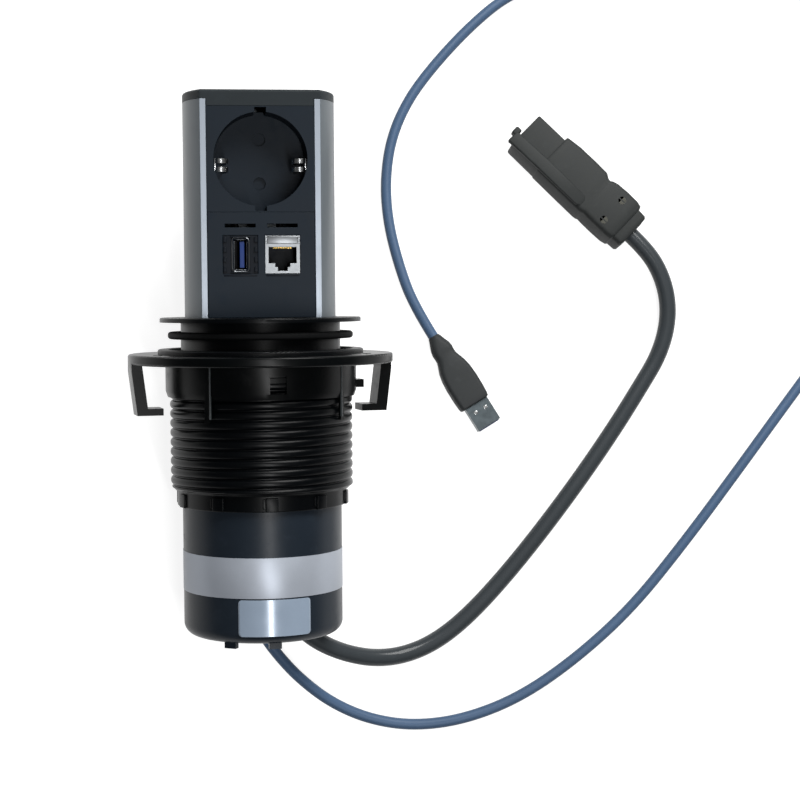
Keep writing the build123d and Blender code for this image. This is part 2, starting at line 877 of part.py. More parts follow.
def usb_shell():
    front = -front_depth + fit_gap + usb_wall
    back = front + usb_deep - 2 * usb_wall
    shell = window(-port_offset, usb_wide, usb_tall, (front, back))
    room = (front - overrun, back - usb_wall)
    return shell - window(-port_offset, usb_wide - 2 * usb_wall, usb_tall - 2 * usb_wall, room)


def usb_tongue():
    front = -front_depth + fit_gap + usb_wall
    across = -port_offset + usb_wide / 2 - usb_wall - usb_tongue_wide
    room = (front + 2 * usb_wall, front + usb_deep - 3 * usb_wall)
    return window(across, usb_tongue_wide, usb_tongue_tall, room)


def rj45_jack():
    front = -front_depth + fit_gap
    body = keystone_block(port_offset, front)
    middle = port_height - jack_below
    room = (front - overrun, front + jack_deep)
    body -= window(port_offset, jack_wide, jack_tall, room, middle)
    low = middle - jack_tall / 2
    body -= window(port_offset, notch_wide, 2 * notch_tall, room, low)
    return body - window(port_offset, notch_step_wide, 2 * notch_tall, room, low - notch_tall)


def rj45_contacts():
    front = -front_depth + fit_gap
    back = (front + jack_deep * contact_front_share, front + jack_deep)
    top = port_height - jack_below + jack_tall / 2
    wires = []
    for index in range(jack_contacts):
        across = port_offset + (index - (jack_contacts - 1) / 2) * contact_pitch
        wires.append(block((across - contact_wire / 2, across + contact_wire / 2), back,
                           (top - contact_wire, top)))
    return Compound(wires)


# Wires inside the unit
def route_radii(points):
    """The largest arc at each corner that its two runs allow."""
    radii = []
    for before, corner, after in zip(points, points[1:], points[2:]):
        first, second = Vector(*corner) - Vector(*before), Vector(*after) - Vector(*corner)
        half_turn = radians(first.get_angle(second)) / 2
        radii.append(arc_share * min(first.length, second.length) / tan(half_turn))
    return radii


def tube_along(points, radius):
    path = FilletPolyline(*points, radius=route_radii(points))
    start = Plane(origin=path @ 0, z_dir=path % 0)
    return sweep(start * Circle(radius), path=path)


def mains_wires():
    """Three wires from above the gland, through the column's base to the terminal screws."""
    rear = back_front + back_depth + terminal_length / 2
    top = socket_middle - back_side / 2 + back_wall
    hole = wire_hole_radius - 4 * wire_radius
    wires = []
    for step in (-1, 0, 1):
        low, high = gland_across + step * wire_step, step * terminal_step
        points = [(low, gland_depth, base_top), (low, gland_depth, base_top + wire_bend),
                  (high * wire_share, hole, -column_overlap), (high, rear, module_side / 2),
                  (high, rear, top)]
        wires.append(tube_along(points, wire_radius))
    return Compound(wires)


def data_wire():
    """The wire from above its gland to the back of the USB port."""
    rear = -front_depth + fit_gap + keystone_deep
    turn = rear + 4 * wire_radius
    low, high = data_gland_across, -port_offset
    points = [(low, gland_depth, base_top), (low, gland_depth, base_top + wire_bend),
              (low, -2 * wire_radius, -column_overlap), (high, turn, port_height / 2),
              (high, turn, port_height), (high, rear, port_height)]
    return tube_along(points, wire_radius)


# Installation connector and data plug, each with its cord end at the origin and pointing along X
def connector_body():
    """The front housing, open in front, with a latch hook along its left side."""
    start, end = connector_cover, connector_cover + connector_mouth
    half = connector_front_wide / 2
    top = connector_tall - connector_wall
    body = block((start, end), (-half, half), (connector_wall, top))
    inner = half - connector_wall
    body -= block((start + connector_mouth * connector_room_share, end + overrun), (-inner, inner),
                  (2 * connector_wall, top - connector_wall))
    arm = (half + latch_hook_gap, half + latch_hook_gap + connector_wall / 2)
    low = (connector_tall - latch_hook_long) / 2
    hook = block((start, end - connector_wall), arm, (low, low + latch_hook_long))
    root = block((start, start + connector_wall), (half - connector_wall, arm[1]), (low, low + latch_hook_long))
    nose = block((end - 2 * connector_wall, end - connector_wall), (arm[0], arm[1] + connector_wall),
                 (low, low + latch_hook_long))
    return body + hook + root + nose


def connector_cover_shell():
    """The clamp cover: it narrows in steps towards the cord."""
    solid = None
    for first, last, wide, tall in connector_cover_shares:
        half = wide * connector_wide / 2
        drop = (1 - tall) * connector_tall / 2
        step = block((first * connector_cover, last * connector_cover), (-half, half),
                     (drop, connector_tall - drop))
        step = fillet(step.edges().filter_by(Axis.X), connector_wall)
        solid = step if solid is None else solid + step
    for across, back in connector_screw_places():
        hole = Pos(across, back, connector_tall) * Cylinder(connector_screw_radius + seat_gap, 2 * screw_head)
        solid -= hole
    return solid


def connector_screw_places():
    along = connector_cover * connector_screw_share
    aside = connector_wide * connector_aside_share
    return [(along, -aside), (along, aside)]


def connector_screws():
    screws = []
    for across, back in connector_screw_places():
        low = connector_tall - screw_head
        screw = Pos(across, back, low + screw_head / 2) * Cylinder(connector_screw_radius, screw_head)
        screw -= block((across - connector_screw_radius, across + connector_screw_radius),
                       (back - screw_slot / 2, back + screw_slot / 2),
                       (connector_tall - screw_slot, connector_tall + overrun))
        screws.append(screw)
    return Compound(screws)


def connector_poles():
    """Three contacts side by side in the mouth."""
    start = connector_cover + connector_mouth * connector_room_share
    end = connector_cover + connector_mouth - 4 * connector_wall
    poles = []
    for step in (-1, 0, 1):
        pole = bar_across(pole_radius, (start, end), step * pole_spacing, connector_tall / 2)
        poles.append(pole)
    return Compound(poles)


def plug_body():
    """The moulded grip and its tapered relief."""
    grip = block((plug_relief, plug_relief + plug_long), (-plug_wide / 2, plug_wide / 2), (0, plug_tall))
    grip = fillet(grip.edges().filter_by(Axis.X), plug_edge)
    cone = Rot(0, 90, 0) * Cone(plug_relief_tip, plug_tall * relief_root_share, plug_relief)
    return grip + Pos(plug_relief / 2, 0, plug_tall / 2) * cone


def plug_shell():
    start = plug_relief + plug_long
    low = (plug_tall - shell_tall) / 2
    shell = block((start, start + shell_long), (-shell_wide / 2, shell_wide / 2), (low, low + shell_tall))
    half = shell_wide / 2 - shell_wall
    return shell - block((start + shell_wall, start + shell_long + overrun), (-half, half),
                         (low + shell_wall, low + shell_tall - shell_wall))


def plug_tongue():
    start = plug_relief + plug_long + shell_wall
    half = shell_wide / 2 - 2 * shell_wall
    low = (plug_tall - shell_tall) / 2 + shell_wall
    return block((start, start + shell_long - 2 * shell_wall), (-half, half), (low, low + shell_tongue))


# Cord routes on the surface, chosen by hand where the laid cords run
mains_route = [
    (6.95, -99.91, 26.124), (11.27, -107.25, 24.66), (17.6, -114.5, 22.4), (25.9, -120.8, 19.2),
    (37.9, -125.9, 14.2), (52.1, -128.6, 8.7), (66.6, -127.2, 5.3), (81.0, -121.4, 4.0),
    (95.8, -110.5, 4.0), (113.4, -93.0, 4.0), (133.0, -70.6, 4.0), (153.4, -45.2, 4.0),
    (171.0, -21.4, 4.0), (183.2, -3.4, 4.0), (192.9, 11.3, 4.0), (197.8, 25.6, 5.2),
    (198.4, 38.8, 6.7), (195.2, 51.4, 7.8), (188.87, 62.37, 8.5), (180.8, 70.5, 8.5),
]
data_route_out = [
    (-7.206, -97.767, 26.555), (-5.18, -105.18, 25.07), (-0.8, -115.2, 22.4), (6.2, -125.2, 18.6),
    (16.6, -136.6, 12.6), (31.4, -148.2, 6.4), (49.6, -156.4, 3.0), (70.4, -159.9, 2.5),
    (94.0, -157.4, 2.5), (120.0, -148.2, 2.5), (147.0, -131.2, 2.5), (174.6, -108.4, 2.5),
    (201.4, -78.4, 2.5), (228.0, -46.2, 2.5), (254.0, -14.0, 2.5), (279.5, 17.0, 2.5),
    (299.0, 41.6, 2.5), (315.5, 61.3, 2.5),
]
coil_middle = (303.6, 90.3)
data_route_back = [
    (324.3, 113.8, 7.2), (317.6, 131.6, 4.8), (308.6, 153.4, 2.8), (298.8, 174.0, 2.5),
    (284.6, 190.6, 2.5), (263.4, 200.2, 2.5), (232.0, 200.6, 2.5), (196.0, 198.8, 2.5),
    (164.0, 200.2, 2.5), (142.0, 198.8, 2.5), (124.4, 191.0, 2.5), (106.4, 175.6, 2.5),
    (88.4, 156.2, 2.5), (75.2, 138.6, 2.5), (66.6, 119.6, 2.5), (63.2, 98.6, 2.5),
    (64.0, 78.6, 2.5), (68.4, 57.6, 3.3), (74.85, 37.48, 4.2), (84.3, 21.5, 4.2),
]
connector_place, connector_heading = (180.8, 70.5), 134.8
plug_place, plug_heading = (84.3, 21.5), -59.4


def cord(route, diameter):
    """One cord, and how far its solid is from its section times its length."""
    radii = route_radii(route)
    print("arcs in diameters:", [round(radius / diameter, 1) for radius in radii])
    path = FilletPolyline(*route, radius=radii)
    solid = tube_along(route, diameter / 2)
    full = pi * diameter ** 2 / 4 * path.length
    print("length", round(path.length, 1), "volume by section and length", round(solid.volume / full, 4))
    return solid


def cord_coil():
    low, high = 0, coil_bundle_tall
    outer, inner = coil_radius + coil_bundle_wide / 2, coil_radius - coil_bundle_wide / 2
    ring_edge = coil_bundle_tall * coil_edge_share
    coil = disc(outer, low, high) - disc(inner, low - overrun, high + overrun)
    coil = fillet(coil.edges().filter_by(GeomType.CIRCLE), ring_edge)
    return Pos(*coil_middle) * coil


def placed(solid, place, heading):
    return Pos(*place) * Rot(0, 0, heading) * solid


# The unit laid on its back
rim_up, rim_out = nut_bottom + nut_edge, nut_radius - nut_edge
end_up, end_out = -tube_end + tube_edge, tube_radius - tube_edge
rest_drop, rest_span = rim_out - end_out, rim_up - end_up
tilt = atan2(rest_drop, rest_span) - asin((tube_edge - nut_edge) / hypot(rest_drop, rest_span))
rise = nut_edge - rim_up * sin(tilt) + rim_out * cos(tilt)

unit_parts = {
    "bezel_flange": bezel_flange,
    "hole_seal": hole_seal,
    "threaded_sleeve": threaded_sleeve,
    "lower_tube": lower_tube,
    "base_plate": base_plate,
    "base_screws": base_screws,
    "mains_gland": mains_gland,
    "data_gland": data_gland,
    "label_band": label_band,
    "label_small": label_small,
    "clamp_nut": clamp_nut,
    "thrust_washer": thrust_washer,
    "spring_bracket": spring_bracket,
    "drum_axle": drum_axle,
    "spring_drums": spring_drums,
    "lift_strips": lift_strips,
    "damper_body": damper_body,
    "damper_gear": damper_gear,
    "latch_bracket": latch_bracket,
    "latch_hook": latch_hook,
    "latch_leaf_spring": latch_leaf_spring,
    "column_profile": column_profile,
    "top_cap": top_cap,
    "front_filler": front_filler,
    "column_base": column_base,
    "slide_shoes": slide_shoes,
    "damper_rack": rack,
    "socket_body": socket_body,
    "socket_back": socket_back,
    "socket_sleeves": socket_sleeves,
    "earth_clips": earth_clips,
    "socket_shutter": socket_shutter,
    "shutter_spring": shutter_spring,
    "terminal_screws": terminal_screws,
    "data_plate": data_plate,
    "usb_adapter": usb_adapter,
    "usb_port_shell": usb_shell,
    "usb_port_tongue": usb_tongue,
    "rj45_jack": rj45_jack,
    "rj45_contacts": rj45_contacts,
    "mains_wires": mains_wires,
    "data_wire": data_wire,
}
connector_parts = {
    "connector_body": connector_body,
    "connector_cover": connector_cover_shell,
    "connector_screws": connector_screws,
    "connector_poles": connector_poles,
}
plug_parts = {
    "plug_body": plug_body,
    "plug_shell": plug_shell,
    "plug_tongue": plug_tongue,
}


def write(name, shape):
    shape.label = name
    export_step(shape, f"parts/{name}.step")


def main():
    os.makedirs("parts", exist_ok=True)
    upright = {name: make() for name, make in unit_parts.items()}
    turn = Rot(degrees(tilt) - 90, 0, 0)
    middle = Compound([turn * shape for shape in upright.values()]).bounding_box().center().Y
    laid = Pos(0, -middle, rise) * turn
    for name, shape in upright.items():
        write(name, laid * shape)
    write("mains_cord", cord(mains_route, mains_diameter))
    write("data_cord_out", cord(data_route_out, data_diameter))
    write("data_cord_coil", cord_coil())
    write("data_cord_back", cord(data_route_back, data_diameter))
    for name, make in connector_parts.items():
        write(name, placed(make(), connector_place, connector_heading))
    for name, make in plug_parts.items():
        write(name, placed(make(), plug_place, plug_heading))


if __name__ == "__main__":
    main()
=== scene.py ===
"""Pop-up desk socket laid on its back with its two leads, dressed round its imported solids.

Everything is in metres in the row frame. Shapes of the unit are worked out upright, with its
axis along Z and the flange's top at height zero, and then laid on its back by Layout.
"""
import json
import logging
import math
from collections.abc import Callable, Iterable, Iterator
from contextlib import contextmanager
from dataclasses import dataclass, field
from enum import Enum

import bmesh
import bpy
import numpy as np
from mathutils import Matrix, Vector


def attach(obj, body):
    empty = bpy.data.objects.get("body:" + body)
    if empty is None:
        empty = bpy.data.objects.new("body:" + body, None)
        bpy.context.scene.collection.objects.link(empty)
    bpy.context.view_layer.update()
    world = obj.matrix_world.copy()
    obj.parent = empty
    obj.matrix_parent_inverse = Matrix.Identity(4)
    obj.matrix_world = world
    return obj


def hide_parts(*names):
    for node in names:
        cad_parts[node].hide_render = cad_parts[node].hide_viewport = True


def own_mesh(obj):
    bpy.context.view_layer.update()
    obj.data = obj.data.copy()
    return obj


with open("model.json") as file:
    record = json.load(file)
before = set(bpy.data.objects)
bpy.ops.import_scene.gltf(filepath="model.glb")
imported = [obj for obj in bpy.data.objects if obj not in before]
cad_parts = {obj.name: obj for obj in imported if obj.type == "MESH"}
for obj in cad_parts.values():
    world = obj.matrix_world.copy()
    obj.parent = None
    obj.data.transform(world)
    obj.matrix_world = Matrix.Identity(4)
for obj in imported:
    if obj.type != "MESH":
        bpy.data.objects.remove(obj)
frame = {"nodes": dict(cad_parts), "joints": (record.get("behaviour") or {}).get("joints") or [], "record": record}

LOG = logging.getLogger("desk_socket")
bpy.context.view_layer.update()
MM = 0.001
CELL = 2e-6
WHITE = (1.0, 1.0, 1.0, 1.0)
JOINTS = {joint["name"]: joint for joint in frame["joints"]}
SLOTS = {entry["node"]: entry["material_slot"] for entry in frame["record"]["subparts"]}
Pair = tuple[float, float]
Point = tuple[float, float, float]
Colour = tuple[float, float, float]
Stations = tuple[tuple[float, ...], ...]


# Shader maths
class Signal:
    """A socket of a node tree whose arithmetic adds Math nodes."""

    def __init__(self, graph: "Graph", socket: bpy.types.NodeSocket) -> None:
        """Wraps an output socket of the graph's tree."""
        self.graph, self.socket = graph, socket

    def _calculate(self, operation: str, first: "Signal | float", second: "Signal | float",
                   clamp: bool = False) -> "Signal":
        """Adds one Math node.

        Args:
            operation: Blender's name of the operation.
            first: left value or signal.
            second: right value or signal.
            clamp: whether the result is held between 0 and 1.

        Returns:
            The node's result.
        """
        return self.graph.node("ShaderNodeMath", {"operation": operation, "use_clamp": clamp},
                               {0: first, 1: second})

    def __add__(self, other: "Signal | float") -> "Signal":
        """Sum."""
        return self._calculate("ADD", self, other)

    def __radd__(self, other: float) -> "Signal":
        """Sum with the number first."""
        return self._calculate("ADD", other, self)

    def __sub__(self, other: "Signal | float") -> "Signal":
        """Difference."""
        return self._calculate("SUBTRACT", self, other)

    def __rsub__(self, other: float) -> "Signal":
        """Difference with the number first."""
        return self._calculate("SUBTRACT", other, self)

    def __mul__(self, other: "Signal | float") -> "Signal":
        """Product."""
        return self._calculate("MULTIPLY", self, other)

    def __rmul__(self, other: float) -> "Signal":
        """Product with the number first."""
        return self._calculate("MULTIPLY", other, self)

    def clamped(self) -> "Signal":
        """Held between 0 and 1."""
        return self._calculate("ADD", self, 0.0, clamp=True)


class Graph:
    """The node tree of one material or of the world."""

    def __init__(self, owner: bpy.types.Material | bpy.types.World) -> None:
        """Starts an empty tree in the material or world that owns it."""
        owner.use_nodes = True
        self.owner, self.tree = owner, owner.node_tree
        self.tree.nodes.clear()

    def node(self, kind: str, settings: dict | None = None, inputs: dict | None = None,
             output: int | str = 0) -> Signal:
        """Adds one node, sets it up and links it.

        Args:
            kind: the node's type.
            settings: values of its own properties.
            inputs: socket names or numbers with their value or signal.
            output: which output is returned.

        Returns:
            The chosen output.
        """
        made = self.tree.nodes.new(kind)
        for name, value in (settings or {}).items():
            setattr(made, name, value)
        for name, value in (inputs or {}).items():
            if isinstance(value, Signal):
                self.tree.links.new(value.socket, made.inputs[name])
            else:
                made.inputs[name].default_value = value
        return Signal(self, made.outputs[output])

    def rays(self, *kinds: str) -> Signal:
        """One for the given kinds of ray, such as Camera, and zero for the others."""
        return sum(self.node("ShaderNodeLightPath", None, None, f"Is {kind} Ray") for kind in kinds).clamped()

    def place(self, turn: Point = (0.0, 0.0, 0.0), stretch: Point = (1.0, 1.0, 1.0)) -> Signal:
        """Object coordinates, turned and stretched.

        Args:
            turn: angles in radians.
            stretch: how many times longer the pattern is along each axis.

        Returns:
            The vector.
        """
        position = self.node("ShaderNodeTexCoord", None, None, "Object")
        return self.node("ShaderNodeMapping", {"vector_type": "TEXTURE"},
                         {"Vector": position, "Rotation": turn, "Scale": stretch})

    def noise(self, size: float, detail: float = 3.0, rough: float = 0.55,
              place: Signal | None = None) -> Signal:
        """Noise between 0 and 1 whose lumps have about the given size.

        Args:
            size: size of the lumps in metres.
            detail: octaves.
            rough: share of each finer octave.
            place: the vector that it reads.

        Returns:
            The noise's value.
        """
        return self.node("ShaderNodeTexNoise", {"noise_dimensions": "3D"},
                         {"Vector": place or self.place(), "Scale": 1.0 / size, "Detail": detail,
                          "Roughness": rough})

    def patches(self, size: float, level: float, gain: float, detail: float = 5.0, rough: float = 0.7,
                place: Signal | None = None) -> Signal:
        """Spots where a noise lies above a level: (noise - level) times the gain, from 0 to 1.

        Args:
            size: size of the noise's lumps in metres.
            level: where the spots begin.
            gain: how quickly they become full.
            detail: octaves.
            rough: share of each finer octave.
            place: the vector that the noise reads.

        Returns:
            How strongly a spot shows.
        """
        return ((self.noise(size, detail, rough, place) - level) * gain).clamped()

    def blend(self, amount: Signal, first: Signal | Colour, second: Signal | Colour) -> Signal:
        """Mixes two colours.

        Args:
            amount: share of the second.
            first: colour or signal.
            second: colour or signal.

        Returns:
            The mixed colour.
        """
        first, second = (colour if isinstance(colour, Signal) else (*colour, 1.0)
                         for colour in (first, second))
        return self.node("ShaderNodeMix", {"data_type": "RGBA"}, {0: amount, 6: first, 7: second}, 2)

    def mottled(self, amount: Signal, colour: Colour, dark: float, light: float) -> Signal:
        """A colour that goes from its darker to its lighter tone with the amount."""
        return self.blend(amount, toned(colour, dark), toned(colour, light))

    def bump(self, height: Signal, depth: float, strength: float = 1.0,
             under: Signal | None = None) -> Signal:
        """Turns a height into a normal.

        Args:
            height: height between 0 and 1.
            depth: depth of the relief in metres.
            strength: how much of it counts.
            under: another normal that lies below.

        Returns:
            The normal.
        """
        inputs: dict = {"Height": height, "Distance": depth, "Strength": strength}
        if under is not None:
            inputs["Normal"] = under
        return self.node("ShaderNodeBump", None, inputs)

    def close(self, **sockets: Signal | Colour | float) -> bpy.types.Material:
        """Ends the tree in one Principled shader.

        Args:
            sockets: its sockets, with _ for a space in their names.

        Returns:
            The material.
        """
        self.end(self.node("ShaderNodeBsdfPrincipled", None,
                           {name.replace("_", " "): value for name, value in sockets.items()}))
        return self.owner

    def end(self, shader: Signal, kind: str = "ShaderNodeOutputMaterial") -> None:
        """Links a shader to the tree's output, a node of the given type."""
        self.tree.links.new(shader.socket, self.tree.nodes.new(kind).inputs["Surface"])


# Finishes
def ink(red: int, green: int, blue: int) -> Colour:
    """A screen colour of 0 to 255 as light: the share to the power 2.2."""
    return tuple(round((value / 255.0) ** 2.2, 5) for value in (red, green, blue))


def toned(colour: Colour, factor: float) -> Colour:
    """A colour times a factor, at most 1."""
    return tuple(min(value * factor, 1.0) for value in colour)


@dataclass(frozen=True)
class Finish:
    """What a piece's surface looks like.

    Attributes:
        title: its material's name.
        colour: its mean colour.
    """

    title: str
    colour: Colour

    def material(self) -> bpy.types.Material:
        """The finish's material, made once."""
        return bpy.data.materials.get(self.title) or self.make(Graph(bpy.data.materials.new(self.title)))

    def make(self, graph: Graph) -> bpy.types.Material:
        """Builds the material.

        Args:
            graph: an empty tree.

        Returns:
            The material.
        """
        raise NotImplementedError


@dataclass(frozen=True)
class MouldedPlastic(Finish):
    """Moulded plastic with a fine grain, cloudy flow marks, rubbed patches and hairline scratches.

    Attributes:
        rough: its mean roughness.
        grain: size of the grain in metres.
        depth: depth of the grain in metres.
        rubbed: how much lighter the rubbed patches are.
        sheen_level: specular level.
        flow: depth of the flow marks in metres.
    """

    rough: float = 0.42
    grain: float = 0.0004
    depth: float = 0.00002
    rubbed: float = 0.25
    sheen_level: float = 0.3
    flow: float = 0.00012

    def make(self, graph: Graph) -> bpy.types.Material:
        """Builds the material: see Finish."""
        cloud = graph.noise(0.016, 3.0)
        patch = graph.patches(size=0.007, level=0.54, gain=5.0)
        hair = graph.patches(size=0.0006, level=0.68, gain=9.0, detail=2.0, rough=0.5,
                             place=graph.place((0.3, 0.2, 0.7), (1.0, 30.0, 1.0)))
        base = graph.mottled(cloud, self.colour, 0.84, 1.16)
        worn = graph.blend(patch * self.rubbed + hair * 0.2, base, toned(self.colour, 1.9))
        rough = self.rough + (cloud - 0.5) * 0.12 + patch * 0.1 + hair * 0.12
        relief = graph.bump(cloud, self.flow, 0.25)
        normal = graph.bump(graph.noise(self.grain, 2.0), self.depth, 0.7, relief)
        return graph.close(Base_Color=worn, Roughness=rough, Normal=normal,
                           Specular_IOR_Level=self.sheen_level)


@dataclass(frozen=True)
class DrawnAluminium(Finish):
    """Anodised aluminium with fine die lines along the unit.

    Attributes:
        rough: its mean roughness.
        metallic: how much it is a bare metal.
        lines: width of the die lines in metres.
    """

    rough: float = 0.34
    metallic: float = 0.4
    lines: float = 0.00022

    def make(self, graph: Graph) -> bpy.types.Material:
        """Builds the material: see Finish."""
        tilt = math.atan2(Layout.up[2], Layout.up[1])
        lines = graph.noise(self.lines, 3.0, 0.65, graph.place((tilt, 0.0, 0.0), (1.0, 90.0, 1.0)))
        cloud = graph.noise(0.025, 4.0, 0.6)
        smear = graph.patches(size=0.01, level=0.55, gain=4.0, detail=4.0)
        base = graph.mottled(cloud * 0.6 + lines * 0.4, self.colour, 0.86, 1.1)
        rough = self.rough + (lines - 0.5) * 0.22 + smear * 0.08
        return graph.close(Base_Color=base, Metallic=self.metallic, Roughness=rough,
                           Normal=graph.bump(lines, 0.000012, 0.5))


@dataclass(frozen=True)
class PlatedMetal(Finish):
    """Pressed and plated metal with tumbling marks and a dull film.

    Attributes:
        rough: its mean roughness.
    """

    rough: float = 0.28

    def make(self, graph: Graph) -> bpy.types.Material:
        """Builds the material: see Finish."""
        film = graph.noise(0.004, 4.0, 0.65)
        marks = graph.noise(0.0004, 3.0, 0.6, graph.place((0.4, 0.0, 0.9), (1.0, 6.0, 1.0)))
        base = graph.mottled(film, self.colour, 0.8, 1.08)
        rough = self.rough + (film - 0.5) * 0.16 + (marks - 0.5) * 0.14
        return graph.close(Base_Color=base, Metallic=1.0, Roughness=rough,
                           Normal=graph.bump(marks, 0.000015, 0.45))


@dataclass(frozen=True)
class SoftRubber(Finish):
    """Matt rubber or foam with open pores and dust in them.

    Attributes:
        pores: size of the pores in metres.
        depth: their depth in metres.
    """

    pores: float = 0.0008
    depth: float = 0.00008

    def make(self, graph: Graph) -> bpy.types.Material:
        """Builds the material: see Finish."""
        pores = graph.noise(self.pores, 4.0, 0.7)
        cloud = graph.noise(0.012, 3.0)
        base = graph.mottled(cloud, self.colour, 0.8, 1.2)
        dusty = graph.blend((pores - 0.35) * 0.5, base, toned(self.colour, 2.0))
        return graph.close(Base_Color=dusty, Roughness=0.7 + (cloud - 0.5) * 0.12,
                           Specular_IOR_Level=0.12, Normal=graph.bump(pores, self.depth, 0.8))


@dataclass(frozen=True)
class LeadJacket(Finish):
    """Extruded jacket: a soft sheen, a little orange peel, scuffs and a cloudy colour.

    Attributes:
        rough: its mean roughness.
        gloss: weight of its clear coat.
        sheen_level: specular level.
    """

    rough: float = 0.4
    gloss: float = 0.0
    sheen_level: float = 0.3

    def make(self, graph: Graph) -> bpy.types.Material:
        """Builds the material: see Finish."""
        cloud = graph.noise(0.03, 3.0, 0.6)
        peel = graph.noise(0.0014, 2.0)
        scuff = graph.patches(size=0.005, level=0.58, gain=6.0, rough=0.75)
        base = graph.mottled(cloud, self.colour, 0.86, 1.14)
        worn = graph.blend(scuff * 0.3, base, toned(self.colour, 1.5))
        return graph.close(Base_Color=worn, Roughness=self.rough + scuff * 0.14 + (cloud - 0.5) * 0.1,
                           Normal=graph.bump(peel, 0.00005, 0.5), Coat_Weight=self.gloss,
                           Coat_Roughness=0.14, Specular_IOR_Level=self.sheen_level)


@dataclass(frozen=True)
class FoilLabel(Finish):
    """Silvery polyester foil with a faint grain and small creases.

    Attributes:
        rough: its mean roughness.
        metallic: how much it is a bare metal.
        sheen_level: specular level.
    """

    rough: float = 0.36
    metallic: float = 0.2
    sheen_level: float = 0.25

    def make(self, graph: Graph) -> bpy.types.Material:
        """Builds the material: see Finish."""
        grain = graph.noise(0.0003, 2.0, 0.6, graph.place((0.0, 0.0, 0.0), (12.0, 1.0, 1.0)))
        cloud = graph.noise(0.014, 4.0, 0.6)
        crease = graph.noise(0.009, 2.0, 0.4)
        base = graph.mottled(cloud * 0.7 + grain * 0.3, self.colour, 0.87, 1.1)
        return graph.close(Base_Color=base, Metallic=self.metallic, Specular_IOR_Level=self.sheen_level,
                           Roughness=self.rough + (cloud - 0.5) * 0.16,
                           Normal=graph.bump(grain, 0.000006, 0.4, graph.bump(crease, 0.00012, 0.35)))


class Look(Enum):
    """The finishes of the socket's pieces."""

    CASING = MouldedPlastic("casing_black", ink(10, 12, 14), 0.32, 0.0005, 0.000014, 0.2, 0.12)
    NUT = MouldedPlastic("nut_black", ink(11, 13, 14), 0.3, 0.0005, 0.000012, 0.18, 0.12)
    # A lighter tone for the nut's ribs: a painted highlight on their edges.
    RIB_HIGHLIGHT = MouldedPlastic("rib_painted_highlight", ink(60, 64, 66), 0.3, 0.0005, 0.000012, 0.0, 0.3)
    TUBE = MouldedPlastic("tube_slate", ink(33, 39, 46), 0.34, 0.0004, 0.00002, 0.2, 0.16)
    FRONT = MouldedPlastic("front_graphite", ink(22, 30, 38), 0.5, 0.00032, 0.00003, 0.14, 0.15)
    CAP = MouldedPlastic("cap_graphite", ink(36, 41, 44), 0.5, 0.00032, 0.00003, 0.2, 0.15)
    INNER = MouldedPlastic("inner_black", ink(16, 18, 21), 0.5, 0.0004, 0.00002, 0.2, 0.15)
    ADAPTER = MouldedPlastic("adapter_black", ink(15, 20, 27), 0.48, 0.0004, 0.00002, 0.2, 0.12)
    WASHER = MouldedPlastic("washer_black", ink(12, 14, 16), 0.38, 0.0004, 0.00002, 0.2, 0.12)
    SEAL = SoftRubber("seal_foam", ink(11, 12, 13))
    GLAND = SoftRubber("gland_rubber_grey", ink(44, 46, 48), 0.0012, 0.00004)
    BAND = FoilLabel("band_foil", ink(160, 166, 176), 0.4, 0.3)
    PLATE = FoilLabel("plate_foil", ink(136, 150, 167), 0.2, 0.1, 0.5)
    PROFILE = DrawnAluminium("drawn_aluminium", ink(84, 91, 96), 0.36, 0.2)
    # A lighter copy of the profile's aluminium for its front faces: painted light.
    LIT_LIP = DrawnAluminium("lip_painted_light", ink(140, 148, 158), 0.34, 0.3)
    STEEL = PlatedMetal("bright_plate", ink(215, 217, 218), 0.22)
    DULL = PlatedMetal("dull_zinc", ink(62, 62, 58), 0.46)
    SPRING = PlatedMetal("spring_plate", ink(150, 150, 152), 0.3)
    BRASS = PlatedMetal("contact_gold", ink(205, 170, 95), 0.26)
    PORT = PlatedMetal("port_plate", ink(128, 131, 134), 0.38)
    BLUE = MouldedPlastic("tongue_blue", ink(16, 44, 98), 0.4, 0.0004, 0.00002, 0.2, 0.2)
    WIRE = LeadJacket("wire_black", ink(40, 40, 42), 0.5)
    MAINS = LeadJacket("mains_grey", ink(56, 60, 63), 0.42, 0.3, 0.1)
    DATA = LeadJacket("data_slate_blue", ink(70, 90, 116), 0.45, 0.0, 0.2)
    CONNECTOR = MouldedPlastic("connector_graphite", ink(50, 52, 52), 0.52, 0.0006, 0.00003, 0.3, 0.12)
    PLUG = MouldedPlastic("plug_graphite", ink(52, 54, 55), 0.52, 0.0006, 0.00003, 0.3, 0.12)
    PLUG_SHELL = PlatedMetal("plug_plate", ink(92, 100, 104), 0.34)


SLOT_LOOKS = {
    "casing_plastic": Look.CASING, "tube_plastic": Look.TUBE, "front_plastic": Look.FRONT,
    "inner_plastic": Look.INNER, "adapter_plastic": Look.ADAPTER, "washer_plastic": Look.WASHER,
    "seal_rubber": Look.SEAL, "gland_rubber": Look.GLAND, "foil_dark": Look.BAND,
    "foil_light": Look.PLATE, "profile_aluminium": Look.PROFILE, "bright_steel": Look.STEEL,
    "spring_steel": Look.SPRING, "contact_brass": Look.BRASS, "port_steel": Look.PORT,
    "port_blue": Look.BLUE, "wire_plastic": Look.WIRE, "mains_jacket": Look.MAINS,
    "data_jacket": Look.DATA, "connector_plastic": Look.CONNECTOR, "plug_plastic": Look.PLUG,
    "plug_steel": Look.PLUG_SHELL,
}
NODE_LOOKS = {"connector_screws": Look.DULL}


